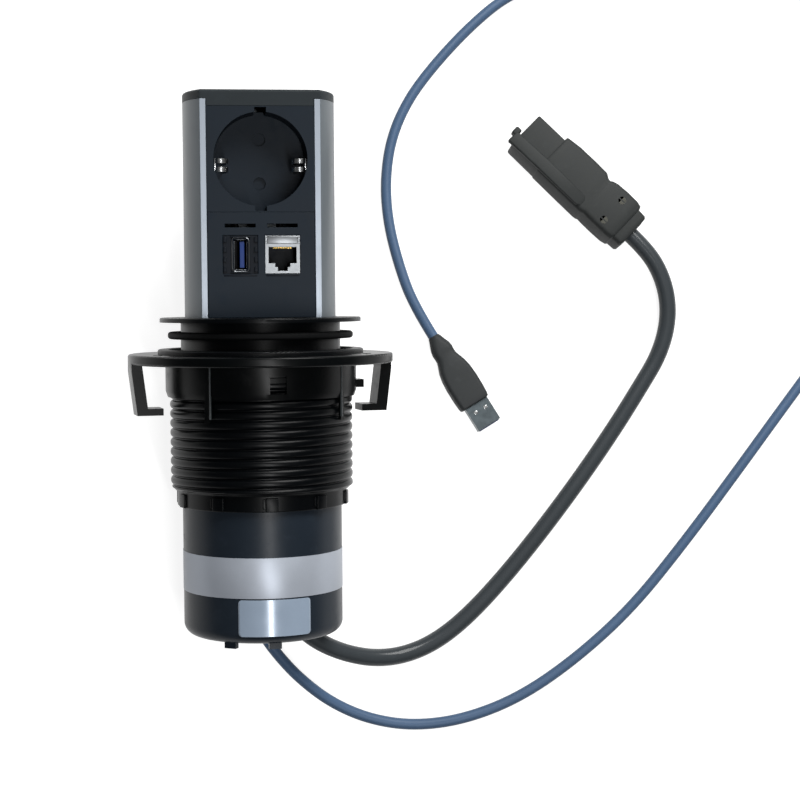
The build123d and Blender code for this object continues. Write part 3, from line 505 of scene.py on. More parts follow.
# Places
class Layout:
    """Carries places of the upright unit, in millimetres, to where it lies on its back."""

    origin = np.array(JOINTS["nut_turn"]["pos_m"])
    right = np.array((1.0, 0.0, 0.0))
    up = np.array(JOINTS["column_lift"]["axis"])
    back = np.cross(up, right)

    @classmethod
    def lay(cls, points: np.ndarray) -> np.ndarray:
        """The origin plus each coordinate times its own direction."""
        return cls.origin + np.asarray(points, float) @ np.array((cls.right, cls.back, cls.up)) * MM

    @classmethod
    def stand(cls, places: np.ndarray) -> np.ndarray:
        """The way back: the share of each direction in the way from the origin."""
        return (places - cls.origin) @ np.array((cls.right, cls.back, cls.up)).T / MM


@dataclass(frozen=True)
class Lying:
    """The frame of a piece on a lead's end: ahead, to its left and up, in millimetres.

    Attributes:
        place: where the lead enters it.
        heading: its direction in degrees from X.
    """

    place: Pair
    heading: float

    def lay(self, points: np.ndarray) -> np.ndarray:
        """The place plus each coordinate times its own direction."""
        turn = math.radians(self.heading)
        ahead = (math.cos(turn), math.sin(turn), 0.0)
        left = (-math.sin(turn), math.cos(turn), 0.0)
        return (np.array((*self.place, 0.0))
                + np.asarray(points, float) @ np.array((ahead, left, (0.0, 0.0, 1.0)))) * MM


# Surfaces, in millimetres
def eased(outline: list | np.ndarray, radius: float | list, steps: int = 4,
          closed: bool = True) -> np.ndarray:
    """Rounds an outline's corners.

    Each corner gives way to the curve (1 - t)^2 before + 2 t (1 - t) corner + t^2 after, whose ends
    lie the radius away along its two runs, or half a run where that is less.

    Args:
        outline: its corners.
        radius: one radius, or one for each corner.
        steps: runs that each curve has.
        closed: whether the last corner joins the first.

    Returns:
        The rounded outline.
    """
    corners = np.asarray(outline, float)
    reach = np.broadcast_to(np.reshape(radius, (-1, 1)), (len(corners), 1))

    def towards(other: np.ndarray) -> np.ndarray:
        """The curve's end on the way to the neighbouring corner."""
        run = other - corners
        long = np.maximum(np.linalg.norm(run, axis=1, keepdims=True), 1e-9)
        return (corners + run * np.minimum(reach / long, 0.5))[:, None]

    share = np.linspace(0.0, 1.0, steps + 1)[None, :, None]
    curve = ((1 - share) ** 2 * towards(np.roll(corners, 1, 0))
             + 2 * share * (1 - share) * corners[:, None]
             + share ** 2 * towards(np.roll(corners, -1, 0)))
    if not closed:
        curve[0], curve[-1] = corners[0], corners[-1]
    return curve.reshape(-1, corners.shape[1])


def turned(profile: np.ndarray, count: int = 192) -> np.ndarray:
    """Carries a profile of radius and height round the axis, starting at the front.

    Each point goes to (radius sin a, -radius cos a, height) for the angles a of a full turn.

    Args:
        profile: radius and height of each point.
        count: number of angles.

    Returns:
        One row of points for each point of the profile.
    """
    angle = np.linspace(0.0, 2 * math.pi, count, endpoint=False)
    radius, height = np.asarray(profile, float).T[:, :, None]
    return np.stack(np.broadcast_arrays(radius * np.sin(angle), -radius * np.cos(angle), height), -1)


def about_axis(points: np.ndarray, degrees: float) -> np.ndarray:
    """Turns points about Z: x cos a - y sin a and x sin a + y cos a."""
    angle = math.radians(degrees)
    turn = np.array(((math.cos(angle), math.sin(angle), 0.0), (-math.sin(angle), math.cos(angle), 0.0),
                     (0.0, 0.0, 1.0)))
    return points @ turn


def quadrants(steps: int) -> tuple[np.ndarray, np.ndarray]:
    """Directions round a rounded rectangle, and which corner each belongs to.

    Args:
        steps: runs in each corner.

    Returns:
        The cosine and sine of each direction, and the signs of its corner.
    """
    corner = np.repeat(np.arange(4), steps + 1)
    angle = (corner + np.tile(np.linspace(0.0, 1.0, steps + 1), 4)) * math.pi / 2
    signs = np.array(((1, 1), (-1, 1), (-1, -1), (1, -1)))[corner]
    return np.stack([np.cos(angle), np.sin(angle)], -1), signs


def soft_block(low: Point, high: Point, edge: float, steps: int = 3) -> np.ndarray:
    """A block with every edge rounded, as rows of points from its lowest to its highest.

    A ball goes round a smaller block: each point is that block's corner plus the ball's radius
    times (sin b cos a, sin b sin a, -cos b).

    Args:
        low: lowest corner.
        high: highest corner.
        edge: radius of the edges.
        steps: runs in each rounding.

    Returns:
        The rows of points.
    """
    low, high = np.array(low, float), np.array(high, float)
    edge = min(edge, 0.49 * float((high - low).min()))
    flat, signs = quadrants(steps)
    tip = np.concatenate([np.linspace(0.0, 0.5, steps + 1), np.linspace(0.5, 1.0, steps + 1)]) * math.pi
    side = ((low + high) / 2)[:2] + signs * ((high - low)[:2] / 2 - edge)
    height = np.where(np.arange(len(tip)) <= steps, low[2] + edge, high[2] - edge) - edge * np.cos(tip)
    across = side[None] + flat[None] * (edge * np.sin(tip))[:, None, None]
    return np.concatenate([across, np.broadcast_to(height[:, None, None], (*across.shape[:2], 1))], -1)


def raised(across: Pair, face: float, heights: Pair, out: float, into: float, edge: float) -> np.ndarray:
    """A soft block on a face that looks to the front, which is the negative way of the depth.

    Args:
        across: its left and right side.
        face: depth of the face.
        heights: its lower and upper height.
        out: how far it stands proud of the face.
        into: how far it reaches behind the face.
        edge: radius of its edges.

    Returns:
        The rows of points.
    """
    return soft_block((across[0], face - out, heights[0]), (across[1], face + into, heights[1]), edge)


def about(middle: float, half: float) -> Pair:
    """The two sides of a stretch round its middle."""
    return middle - half, middle + half


def slab(stations: Stations, steps: int = 4, between: int = 1) -> np.ndarray:
    """A body along X whose section is a rounded rectangle that changes from station to station.

    Each point is the section's inner corner plus the edge's radius times its direction.

    Args:
        stations: rows of place along X, left side, right side, low, high and edge.
        steps: runs in each corner.
        between: how many runs a stretch between two stations gets, in straight lines.

    Returns:
        One row of points for each station.
    """
    stations = np.array(stations)
    where = np.linspace(0.0, len(stations) - 1, (len(stations) - 1) * between + 1)
    along, left, right, low, high, edge = (np.interp(where, np.arange(len(stations)), column)[:, None]
                                           for column in stations.T)
    flat, signs = quadrants(steps)
    edge = np.minimum(edge, np.minimum(left - right, high - low) * 0.499)
    side = (left + right) / 2 + signs[:, 0] * ((left - right) / 2 - edge) + edge * flat[:, 0]
    up = (low + high) / 2 + signs[:, 1] * ((high - low) / 2 - edge) + edge * flat[:, 1]
    return np.stack(np.broadcast_arrays(along, side, up), -1)


# Pieces
def placed(name: str, data: bpy.types.ID) -> bpy.types.Object:
    """A new object in the scene that shows the given data."""
    made = bpy.data.objects.new(name, data)
    bpy.context.scene.collection.objects.link(made)
    return made


@contextmanager
def reworked(mesh: bpy.types.Mesh) -> Iterator[bmesh.types.BMesh]:
    """Lends a mesh's points and faces to be changed and writes them back."""
    work = bmesh.new()
    work.from_mesh(mesh)
    yield work
    work.to_mesh(mesh)
    work.free()


def gathered(items: bpy.types.bpy_prop_collection, name: str, width: int = 1,
             kind: type = float) -> np.ndarray:
    """One value of every item, such as the place of every point.

    Args:
        items: the points, faces or corners of a mesh.
        name: the value's name.
        width: how many numbers it has.
        kind: what kind of number.

    Returns:
        One row for each item.
    """
    values = np.empty(len(items) * width, kind)
    items.foreach_get(name, values)
    return values.reshape(-1, width)


def settle(mesh: bpy.types.Mesh, name: str, look: Look, body: str, nodes: tuple[str, ...] = (),
           edge: float = 0.0, sharp: float = 34.0) -> bpy.types.Object:
    """Makes a mesh a piece of the socket.

    Args:
        mesh: the mesh, in its place.
        name: the piece's name.
        look: its finish.
        body: what it moves with.
        nodes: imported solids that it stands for.
        edge: radius of a bevel on its sharp edges, in millimetres.
        sharp: angle in degrees from which an edge is sharp.

    Returns:
        The piece.
    """
    mesh.shade_smooth()
    mesh.set_sharp_from_angle(angle=math.radians(sharp))
    mesh.materials.clear()
    mesh.materials.append(look.value.material())
    piece = placed(name, mesh)
    if edge:
        bevel = piece.modifiers.new("edge", "BEVEL")
        bevel.width, bevel.segments = edge * MM, 2
        bevel.limit_method, bevel.angle_limit = "ANGLE", math.radians(sharp)
        bevel.harden_normals = True
    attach(piece, body)
    if nodes:
        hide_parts(*nodes)
    LOG.info("%s rides on %s, %d faces", name, body, len(mesh.polygons))
    return piece


class Shell:
    """Points and faces of one piece, gathered from several surfaces."""

    def __init__(self) -> None:
        """Starts empty."""
        self.points: list[np.ndarray] = []
        self.faces: list[list[int]] = []
        self.size = 0

    def add(self, grid: np.ndarray, around: bool = True, ring: bool = False,
            ends: bool = True) -> "Shell":
        """Adds a grid of points: each face joins a point with the next one and the two above.

        Args:
            grid: rows of points.
            around: whether each row's last point joins its first.
            ring: whether the last row joins the first.
            ends: whether the first and the last row are closed by one face each.

        Returns:
            The shell.
        """
        rows, columns = grid.shape[:2]
        row, column = (part.ravel() for part in np.meshgrid(
            np.arange(rows if ring else rows - 1), np.arange(columns if around else columns - 1),
            indexing="ij"))
        above, beside = (row + 1) % rows, (column + 1) % columns
        quads = np.stack([row * columns + column, row * columns + beside, above * columns + beside,
                          above * columns + column], -1) + self.size
        self.faces += quads.tolist()
        if ends and not ring:
            first, last = self.size, self.size + (rows - 1) * columns
            self.faces.append(list(range(first, first + columns))[::-1])
            self.faces.append(list(range(last, last + columns)))
        self.points.append(grid.reshape(-1, 3))
        self.size += rows * columns
        return self

    def add_round(self, turns: Iterable[float], *blocks: np.ndarray) -> "Shell":
        """Adds blocks once for each of the turns about the axis, in degrees."""
        for turn in turns:
            for block in blocks:
                self.add(about_axis(block, turn))
        return self

    def settle(self, name: str, look: Look, body: str, nodes: tuple[str, ...] = (), sharp: float = 34.0,
               lay: Callable[[np.ndarray], np.ndarray] = Layout.lay) -> bpy.types.Object:
        """Makes the shell a piece: see mesh and the function settle."""
        return settle(self.mesh(name, lay), name, look, body, nodes, sharp=sharp)

    def mesh(self, name: str, lay: Callable[[np.ndarray], np.ndarray]) -> bpy.types.Mesh:
        """The shell's mesh: double points merged, faces outwards.

        Args:
            name: the mesh's name.
            lay: what carries its points to their place.

        Returns:
            The mesh.
        """
        mesh = bpy.data.meshes.new(name)
        mesh.from_pydata(lay(np.concatenate(self.points)).tolist(), [], self.faces)
        with reworked(mesh) as work:
            bmesh.ops.remove_doubles(work, verts=work.verts, dist=CELL)
            bmesh.ops.dissolve_degenerate(work, edges=work.edges, dist=CELL / 2)
            bmesh.ops.recalc_face_normals(work, faces=work.faces)
        return mesh


def merged(node: str, name: str) -> bpy.types.Mesh:
    """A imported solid's mesh with its double points merged and its flat faces joined.

    Points in the same cell of the size CELL become one, and so do faces within a degree of one plane.

    Args:
        node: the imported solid.
        name: the new mesh's name.

    Returns:
        The new mesh.
    """
    source = frame["nodes"][node].data
    cells, index = np.unique(np.round(gathered(source.vertices, "co", 3) / CELL).astype(int), axis=0,
                             return_inverse=True)
    faces = index.ravel()[gathered(source.loops, "vertex_index", kind=int)].reshape(-1, 3)
    whole = (faces[:, 0] != faces[:, 1]) & (faces[:, 1] != faces[:, 2]) & (faces[:, 2] != faces[:, 0])
    mesh = bpy.data.meshes.new(name)
    mesh.from_pydata((cells * CELL).tolist(), [], faces[whole].tolist())
    with reworked(mesh) as work:
        bmesh.ops.dissolve_limit(work, angle_limit=math.radians(1.0), verts=work.verts, edges=work.edges)
    return mesh


def softened(node: str, name: str, look: Look, body: str, edge: float = 0.0) -> bpy.types.Object:
    """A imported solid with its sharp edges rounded, in that solid's place: see settle."""
    return settle(merged(node, name), name, look, body, (node,), edge)


def repaint(piece: bpy.types.Object, look: Look,
            chosen: Callable[[np.ndarray, np.ndarray], np.ndarray]) -> None:
    """Gives some faces of a piece another finish.

    Args:
        piece: the piece.
        look: the other finish.
        chosen: takes the upright unit's places and directions of the faces' middles and says which.
    """
    mesh = piece.data
    middle, normal = (gathered(mesh.polygons, name, 3) for name in ("center", "normal"))
    axes = np.array((Layout.right, Layout.back, Layout.up)).T
    mask = chosen(Layout.stand(middle), normal @ axes)
    index = gathered(mesh.polygons, "material_index", kind=int).ravel()
    mesh.materials.append(look.value.material())
    mesh.polygons.foreach_set("material_index", np.where(mask, len(mesh.materials) - 1, index))


# Leads
@dataclass
class Lead:
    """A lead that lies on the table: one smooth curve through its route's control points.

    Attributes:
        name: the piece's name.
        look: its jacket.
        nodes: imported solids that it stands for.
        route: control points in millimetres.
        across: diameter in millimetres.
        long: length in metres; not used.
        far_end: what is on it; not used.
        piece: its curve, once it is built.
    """

    name: str
    look: Look
    nodes: tuple[str, ...]
    route: tuple[Point, ...]
    across: float
    long: float
    far_end: str
    piece: bpy.types.Object = field(init=False)

    def build(self) -> None:
        """Makes the curve."""
        curve = bpy.data.curves.new(self.name, "CURVE")
        curve.dimensions = "3D"
        curve.resolution_u = curve.render_resolution_u = 8
        curve.bevel_depth, curve.bevel_resolution = self.across / 2 * MM, 7
        curve.use_fill_caps = True
        spline = curve.splines.new("NURBS")
        spline.points.add(len(self.route) - 1)
        places = np.hstack([np.array(self.route) * MM, np.ones((len(self.route), 1))])
        spline.points.foreach_set("co", places.ravel())
        spline.order_u = 3
        spline.use_endpoint_u = True
        spline.use_smooth = True
        curve.materials.append(self.look.value.material())
        self.piece = placed(self.name, curve)
        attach(self.piece, "casing")
        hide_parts(*self.nodes)
        LOG.info("%s has %d control points", self.name, len(self.route))

    def declare(self, on_it: list[bpy.types.Object]) -> None:
        """Works out where the lead starts and how thick it is, in metres, and keeps neither.

        Args:
            on_it: the pieces on its end; not used.
        """
        tuple(np.array(self.route[0]) * MM)
        self.across * MM


@dataclass
class Coil:
    """The put-away turns of a lead, wound in two layers.

    Attributes:
        middle: middle of the coil in millimetres.
        start: angle in degrees at which the lead enters.
        steps: control points in each turn.
        keys: turn, radius and height of the lead's middle; between them they change evenly.
    """

    middle: Pair = (303.6, 90.3)
    start: float = -67.7
    steps: int = 18
    keys: tuple[Point, ...] = (
        (0.0, 31.3, 2.5), (0.3, 30.6, 2.5), (0.85, 30.4, 2.5), (1.0, 25.2, 2.5), (1.85, 25.2, 2.5),
        (1.925, 22.8, 5.0), (2.0, 24.7, 7.6), (2.5, 27.3, 7.6), (3.0, 29.9, 7.6), (3.2, 30.9, 7.5))

    def points(self) -> list[Point]:
        """Control points of the turns: middle plus radius times (cos a, sin a), a from the start."""
        turn = np.arange(1, int(self.keys[-1][0] * self.steps) + 1) / self.steps
        key, radius, height = np.array(self.keys).T
        angle = math.radians(self.start) + 2 * math.pi * turn
        radius, height = np.interp(turn, key, radius), np.interp(turn, key, height)
        places = np.stack([self.middle[0] + radius * np.cos(angle),
                           self.middle[1] + radius * np.sin(angle), height], -1)
        return [tuple(place) for place in places.tolist()]


@dataclass
class Leads:
    """The mains lead and the data lead.

    Attributes:
        mains_route: control points of the mains lead, in millimetres.
        data_route_out: those of the data lead as far as its coil.
        data_route_back: those from its coil to its plug.
        mains_across: diameter of the mains lead.
        data_across: diameter of the data lead.
        mains_long: length of the mains lead in metres.
        data_long: length of the data lead in metres.
    """

    mains_route: tuple[Point, ...] = (
        (6.95, -99.91, 26.124), (11.27, -107.25, 24.66), (17.6, -114.5, 22.4), (25.9, -120.8, 19.2),
        (37.9, -125.9, 14.2), (52.1, -128.6, 8.7), (66.6, -127.2, 5.3), (81.0, -121.4, 4.0),
        (95.8, -110.5, 4.0), (113.4, -93.0, 4.0), (133.0, -70.6, 4.0), (153.4, -45.2, 4.0),
        (171.0, -21.4, 4.0), (183.2, -3.4, 4.0), (192.9, 11.3, 4.0), (197.8, 25.6, 5.2),
        (198.4, 38.8, 6.7), (195.2, 51.4, 7.8), (188.87, 62.37, 8.5), (180.8, 70.5, 8.5))
    data_route_out: tuple[Point, ...] = (
        (-7.206, -97.767, 26.555), (-5.18, -105.18, 25.07), (-0.8, -115.2, 22.4), (6.2, -125.2, 18.6),
        (16.6, -136.6, 12.6), (31.4, -148.2, 6.4), (49.6, -156.4, 3.0), (70.4, -159.9, 2.5),
        (94.0, -157.4, 2.5), (120.0, -148.2, 2.5), (147.0, -131.2, 2.5), (174.6, -108.4, 2.5),
        (201.4, -78.4, 2.5), (228.0, -46.2, 2.5), (254.0, -14.0, 2.5), (279.5, 17.0, 2.5),
        (299.0, 41.6, 2.5), (315.5, 61.3, 2.5))
    data_route_back: tuple[Point, ...] = (
        (324.3, 113.8, 7.2), (317.6, 131.6, 4.8), (308.6, 153.4, 2.8), (298.8, 174.0, 2.5),
        (284.6, 190.6, 2.5), (263.4, 200.2, 2.5), (232.0, 200.6, 2.5), (196.0, 198.8, 2.5),
        (164.0, 200.2, 2.5), (142.0, 198.8, 2.5), (124.4, 191.0, 2.5), (106.4, 175.6, 2.5),
        (88.4, 156.2, 2.5), (75.2, 138.6, 2.5), (66.6, 119.6, 2.5), (63.2, 98.6, 2.5),
        (64.0, 78.6, 2.5), (68.4, 57.6, 3.3), (74.85, 37.48, 4.2), (84.3, 21.5, 4.2))
    mains_across: float = 8.0
    data_across: float = 5.0
    mains_long: float = 0.3287
    data_long: float = 1.467

    def build(self) -> tuple[Lead, Lead]:
        """Makes both leads.

        Returns:
            The mains lead and the data lead.
        """
        mains = Lead("mains_lead", Look.MAINS, ("mains_cord",), self.mains_route, self.mains_across,
                     self.mains_long, "connector")
        route = (*self.data_route_out, *Coil().points(), *self.data_route_back)
        data = Lead("data_lead", Look.DATA, ("data_cord_out", "data_cord_coil", "data_cord_back"), route,
                    self.data_across, self.data_long, "plug")
        mains.build()
        data.build()
        return mains, data


@dataclass
class MainsConnector:
    """The three-pole connector on the mains lead: a clamp cover, a front housing and a latch arm.

    Attributes:
        frame: where it lies.
        cover: stations of the cover, as slab takes them.
        housing: stations of the front housing.
        arm: stations of the latch arm along its left side.
        side: stations of the wall that the arm stands on.
        hook: lowest and highest corner of the arm's hook.
        hook_edge: radius of the hook's edges.
    """

    frame: Lying = Lying((180.8, 70.5), 134.8)
    cover: Stations = (
        (-0.4, 6.0, -6.0, 3.0, 14.0, 3.0), (0.0, 8.8, -9.2, 1.4, 15.2, 2.6), (0.9, 9.4, -9.9, 1.0, 15.6, 2.4),
        (4.9, 9.6, -10.1, 1.0, 15.8, 2.4), (5.6, 10.4, -11.8, 0.5, 16.4, 2.8),
        (8.4, 10.9, -12.3, 0.2, 16.9, 2.6), (14.5, 11.0, -12.3, 0.0, 17.0, 2.4),
        (20.8, 11.0, -11.9, 0.0, 17.0, 2.4), (23.4, 10.8, -11.2, 0.0, 17.0, 2.4),
        (24.6, 11.3, -10.3, 0.0, 17.0, 2.4), (26.0, 11.5, -10.5, 0.0, 17.0, 2.4),
        (28.4, 11.5, -12.1, 0.0, 17.0, 2.4), (36.0, 11.5, -12.3, 0.0, 17.0, 2.4),
        (46.0, 11.4, -12.2, 0.0, 17.0, 2.4), (53.2, 11.3, -11.4, 0.1, 16.8, 2.2),
        (54.0, 10.8, -11.0, 0.6, 16.4, 1.9))
    housing: Stations = (
        (52.0, 9.2, -9.2, 0.6, 16.4, 1.2), (70.6, 9.2, -9.2, 0.6, 16.4, 1.2),
        (71.0, 8.8, -8.8, 1.0, 16.0, 1.0), (71.0, 8.0, -8.0, 1.9, 15.1, 0.8),
        (70.6, 7.7, -7.7, 2.2, 14.8, 0.7), (58.0, 7.7, -7.7, 2.2, 14.8, 0.7))
    arm: Stations = (
        (27.0, 9.6, 6.2, 16.2, 17.2, 0.4), (28.6, 10.9, 4.6, 16.0, 17.9, 0.7),
        (45.0, 11.0, 4.3, 15.8, 18.0, 0.8), (54.6, 11.0, 4.3, 15.4, 17.9, 0.9),
        (70.0, 10.9, 4.3, 14.2, 17.0, 0.9), (72.8, 10.8, 4.3, 13.4, 16.6, 0.9),
        (73.4, 10.3, 4.8, 13.8, 16.0, 0.8))
    side: Stations = (
        (50.0, 10.6, 8.9, 1.8, 16.4, 0.5), (53.8, 10.9, 8.9, 1.4, 17.0, 0.6),
        (70.2, 10.8, 8.9, 1.6, 16.4, 0.6), (70.9, 10.4, 9.2, 2.2, 15.6, 0.5))
    hook: tuple[Point, Point] = ((71.8, 2.2, 11.5), (75.1, 6.4, 16.4))
    hook_edge: float = 0.9

    def build(self) -> list[bpy.types.Object]:
        """Makes the connector.

        Returns:
            Its pieces.
        """
        cover = Shell().add(slab(self.cover, between=3))
        housing = Shell().add(slab(self.housing))
        arm = Shell().add(slab(self.arm)).add(slab(self.side, steps=3))
        arm.add(soft_block(*self.hook, self.hook_edge))
        lay = self.frame.lay
        return [
            cover.settle("connector_shell", Look.CONNECTOR, "casing", ("connector_cover",), lay=lay),
            housing.settle("connector_housing", Look.CONNECTOR, "casing", ("connector_body",), lay=lay),
            arm.settle("connector_latch_arm", Look.CONNECTOR, "casing", lay=lay),
            frame["nodes"]["connector_screws"], frame["nodes"]["connector_poles"],
        ]


@dataclass
class DataPlug:
    """The plug on the data lead: a moulded grip whose strain relief has soft waves, its shell, and two bright
    patches on the shell that are painted glints.

    Attributes:
        frame: where it lies.
        grip: stations of the grip, as slab takes them.
        tip: lowest and highest corner of the tongue's end.
        glint_spots: where the middles of the two bright patches lie across; they paint glints on the shell where
            its latch windows are.
        glint_half: half of a patch's width.
        glint_along: their two ends along the plug.
        glint_up: their lower and upper height.
    """

    frame: Lying = Lying((84.3, 21.5), -59.4)
    grip: Stations = (
        (-0.6, 2.7, -2.7, 1.5, 6.9, 2.7), (0.6, 3.3, -3.1, 1.1, 7.3, 3.0), (3.0, 4.1, -4.1, 0.8, 7.6, 3.2),
        (5.2, 5.0, -4.9, 0.6, 7.8, 3.2), (7.4, 5.3, -5.3, 0.5, 7.9, 3.1), (9.4, 5.1, -5.2, 0.6, 7.8, 3.0),
        (11.2, 5.1, -5.2, 0.5, 7.9, 2.9), (13.4, 5.8, -6.0, 0.3, 8.1, 2.8),
        (16.4, 6.7, -7.1, 0.1, 8.3, 2.4), (20.0, 7.3, -7.8, 0.0, 8.4, 2.1),
        (25.0, 7.6, -8.2, 0.0, 8.4, 2.0), (31.0, 7.5, -8.2, 0.0, 8.4, 2.0),
        (35.0, 7.2, -8.0, 0.0, 8.4, 1.9), (36.6, 6.9, -7.7, 0.2, 8.2, 1.9),
        (37.0, 6.2, -7.0, 0.7, 7.7, 1.6))
    tip: tuple[Point, Point] = ((47.6, -5.3, 2.35), (49.35, 5.3, 5.2))
    glint_spots: Pair = (-2.7, 2.7)
    glint_half: float = 0.9
    glint_along: Pair = (40.0, 41.6)
    glint_up: Pair = (6.2, 6.52)

    def build(self) -> list[bpy.types.Object]:
        """Makes the plug.

        Returns:
            Its pieces.
        """
        grip = Shell().add(slab(self.grip, steps=5, between=3))
        tip = Shell().add(soft_block(*self.tip, 0.2))
        # Two bright steel patches on the darker shell: painted glints.
        glint_spots = Shell()
        for middle in self.glint_spots:
            left, right = about(middle, self.glint_half)
            glint_spots.add(soft_block((self.glint_along[0], left, self.glint_up[0]),
                                   (self.glint_along[1], right, self.glint_up[1]), 0.05))
        lay = self.frame.lay
        return [
            grip.settle("plug_grip", Look.PLUG, "casing", ("plug_body",), sharp=60.0, lay=lay),
            softened("plug_shell", "plug_jacket", Look.PLUG_SHELL, "casing", 0.12),
            softened("plug_tongue", "plug_blade", Look.BLUE, "casing", 0.1),
            tip.settle("plug_blade_tip", Look.BLUE, "casing", lay=lay),
            glint_spots.settle("plug_shell_glints", Look.STEEL, "casing", lay=lay),
        ]


# Sub-assemblies of the unit
@dataclass
class ThreadedCasing:
    """The sleeve with its long thread, its bore and its collar with snap lugs.

    Attributes:
        neck: radius of the plain neck under the flange.
        bore: radius of the bore.
        root: radius of the thread's valleys.
        depth: depth of the thread.
        pitch: distance between its ribs.
        valley: share of the pitch by which the valleys are moved.
        flank: how steep the ribs' flanks are.
        crown: how round the ribs' tops are.
        start: height where the thread begins.
        end: height where it ends.
        collar: radius of the collar.
        collar_end: height where it ends.
        seat: radius of the tube's seat in the collar.
        seat_end: height where the seat begins.
        flange_low: height of the flange's lower face.
        rows: rows of points in each pitch.
        columns: angles of a full turn.
        fade: length over which the thread fades at its ends.
        lugs: number of snap lugs on the collar.
        lug_turn: angle of the first lug in degrees.
        lug_half: half of a lug's width.
        lug_top: height of its upper end.
        arm_across: left and right side of the arm beside it.
        arm_up: lower and upper height of that arm.
    """

    neck: float = 34.9
    bore: float = 33.4
    root: float = 38.25
    depth: float = 1.75
    pitch: float = 4.14
    valley: float = 0.25
    flank: float = 2.4
    crown: float = 0.6
    start: float = -20.0
    end: float = -75.0
    collar: float = 37.2
    collar_end: float = -82.0
    seat: float = 35.05
    seat_end: float = -70.0
    flange_low: float = -2.0
    rows: int = 14
    columns: int = 192
    fade: float = 1.6
    lugs: int = 10
    lug_turn: float = 4.0
    lug_half: float = 2.7
    lug_top: float = -76.0
    arm_across: Pair = (-3.9, -2.5)
    arm_up: Pair = (-80.6, -76.4)

    def thread(self) -> np.ndarray:
        """The thread's outer face, in rows that climb with the ribs.

        Row j stands at height end + pitch (j / rows - 1 + a / 2 pi), held between the thread's ends.
        Its radius is the root plus the depth times (1 - |2u - 1|^flank)^crown, where u runs from
        valley to valley, and it fades to the root at both ends.

        Returns:
            The rows of points, whose last column meets the first one pitch higher.
        """
        angle = np.linspace(0.0, 2 * math.pi, self.columns + 1)
        step = np.arange(int((self.start - self.end) / self.pitch + 3) * self.rows)[:, None] / self.rows
        free = self.end + self.pitch * (step - 1 + angle / (2 * math.pi))
        height = np.clip(free, self.end, self.start)
        phase = np.mod(step - 1 + self.valley, 1.0)
        rib = (1 - np.abs(2 * phase - 1) ** self.flank) ** self.crown
        fade = (np.clip((height - self.end) / self.fade, 0, 1)
                * np.clip((self.start - height) / self.fade, 0, 1))
        radius = self.root + self.depth * rib * fade * fade * (3 - 2 * fade)
        return np.stack([radius * np.sin(angle), -radius * np.cos(angle), height], -1)

    def rest(self) -> np.ndarray:
        """The rest of the sleeve's skin: its neck, bore, seat and collar as one turned profile."""
        corners = [(self.root, self.start), (self.neck, self.start), (self.neck, self.flange_low),
                   (self.bore, self.flange_low), (self.bore, self.seat_end), (self.seat, self.seat_end),
                   (self.seat, self.collar_end), (self.collar, self.collar_end),
                   (self.collar, self.end), (self.root, self.end)]
        radii = [0.0, 0.7, 0.2, 0.2, 0.2, 0.2, 0.3, 0.5, 0.4, 0.0]
        return turned(eased(corners, radii, 3, False), self.columns)

    def build(self) -> None:
        """Makes the sleeve and its lugs."""
        sleeve = Shell().add(self.thread(), around=False, ends=False).add(self.rest(), ends=False)
        sleeve.settle("casing_sleeve", Look.CASING, "casing", ("threaded_sleeve",), sharp=50.0)
        lug = raised(about(0.0, self.lug_half), -self.collar, (self.collar_end + 0.1, self.lug_top),
                     out=0.9, into=0.6, edge=0.35)
        arm = raised(self.arm_across, -self.collar, self.arm_up, out=0.35, into=0.6, edge=0.25)
        turns = (self.lug_turn + index * 360.0 / self.lugs for index in range(self.lugs))
        Shell().add_round(turns, lug, arm).settle("collar_snap_lugs", Look.CASING, "casing")
        softened("bezel_flange", "flange_rim", Look.CASING, "casing", 0.3)


@dataclass
class LowerTube:
    """The tube under the collar, its base and its blank labels.

    Attributes:
        radius: outside of the tube.
        foil: thickness of the labels.
        band: lower and upper height of the band that goes round.
        plate: lower and upper height of the small label.
        plate_turn: its left and right angle from the front, in degrees.
        plate_corner: radius of its corners.
        plate_share: how much of the foil's thickness it has, so that its back stays off the tube.
    """

    radius: float = 35.0
    foil: float = 0.15
    band: Pair = (-119.0, -101.7)
    plate: Pair = (-135.3, -119.6)
    plate_turn: Pair = (-20.0, 32.5)
    plate_corner: float = 1.6
    plate_share: float = 0.9

    def band_ring(self) -> np.ndarray:
        """The band's section of radius and height, with eased edges, carried round the tube."""
        inner, outer = self.radius, self.radius + self.foil
        low, high = self.band
        return turned(eased([(inner, low), (outer, low), (outer, high), (inner, high)], 0.05, 2), 256)

    def plate_patch(self) -> np.ndarray:
        """The small label's outer face on the tube.

        A row at height v is as wide as the label, less r - sqrt(r^2 - d^2) at each end, where d is
        how far v reaches into the corners' height r.

        Returns:
            The rows of points.
        """
        low, high = self.plate
        left, right = (math.radians(turn) * self.radius for turn in self.plate_turn)
        reach = self.plate_corner * (1 - np.cos(np.linspace(0.0, math.pi / 2, 7)))
        height = np.concatenate([low + reach, high - reach[::-1]])[:, None]
        into = np.maximum(self.plate_corner - np.minimum(height - low, high - height), 0.0)
        short = self.plate_corner - np.sqrt(np.maximum(self.plate_corner ** 2 - into ** 2, 0.0))
        share = np.linspace(0.0, 1.0, 41)[None]
        angle = (left + short + (right - left - 2 * short) * share) / self.radius
        radius = self.radius + self.foil
        return np.stack(np.broadcast_arrays(radius * np.sin(angle), -radius * np.cos(angle), height), -1)

    def build(self) -> None:
        """Makes the tube and its labels."""
        softened("lower_tube", "tube_shell", Look.TUBE, "casing", 0.35)
        Shell().add(self.band_ring(), ring=True).settle("foil_band", Look.BAND, "casing", ("label_band",))
        plate = Shell().add(self.plate_patch(), around=False, ends=False)
        plate = plate.settle("foil_plate", Look.PLATE, "casing", ("label_small",))
        solid = plate.modifiers.new("foil", "SOLIDIFY")
        solid.thickness, solid.offset = self.foil * MM * self.plate_share, -1.0


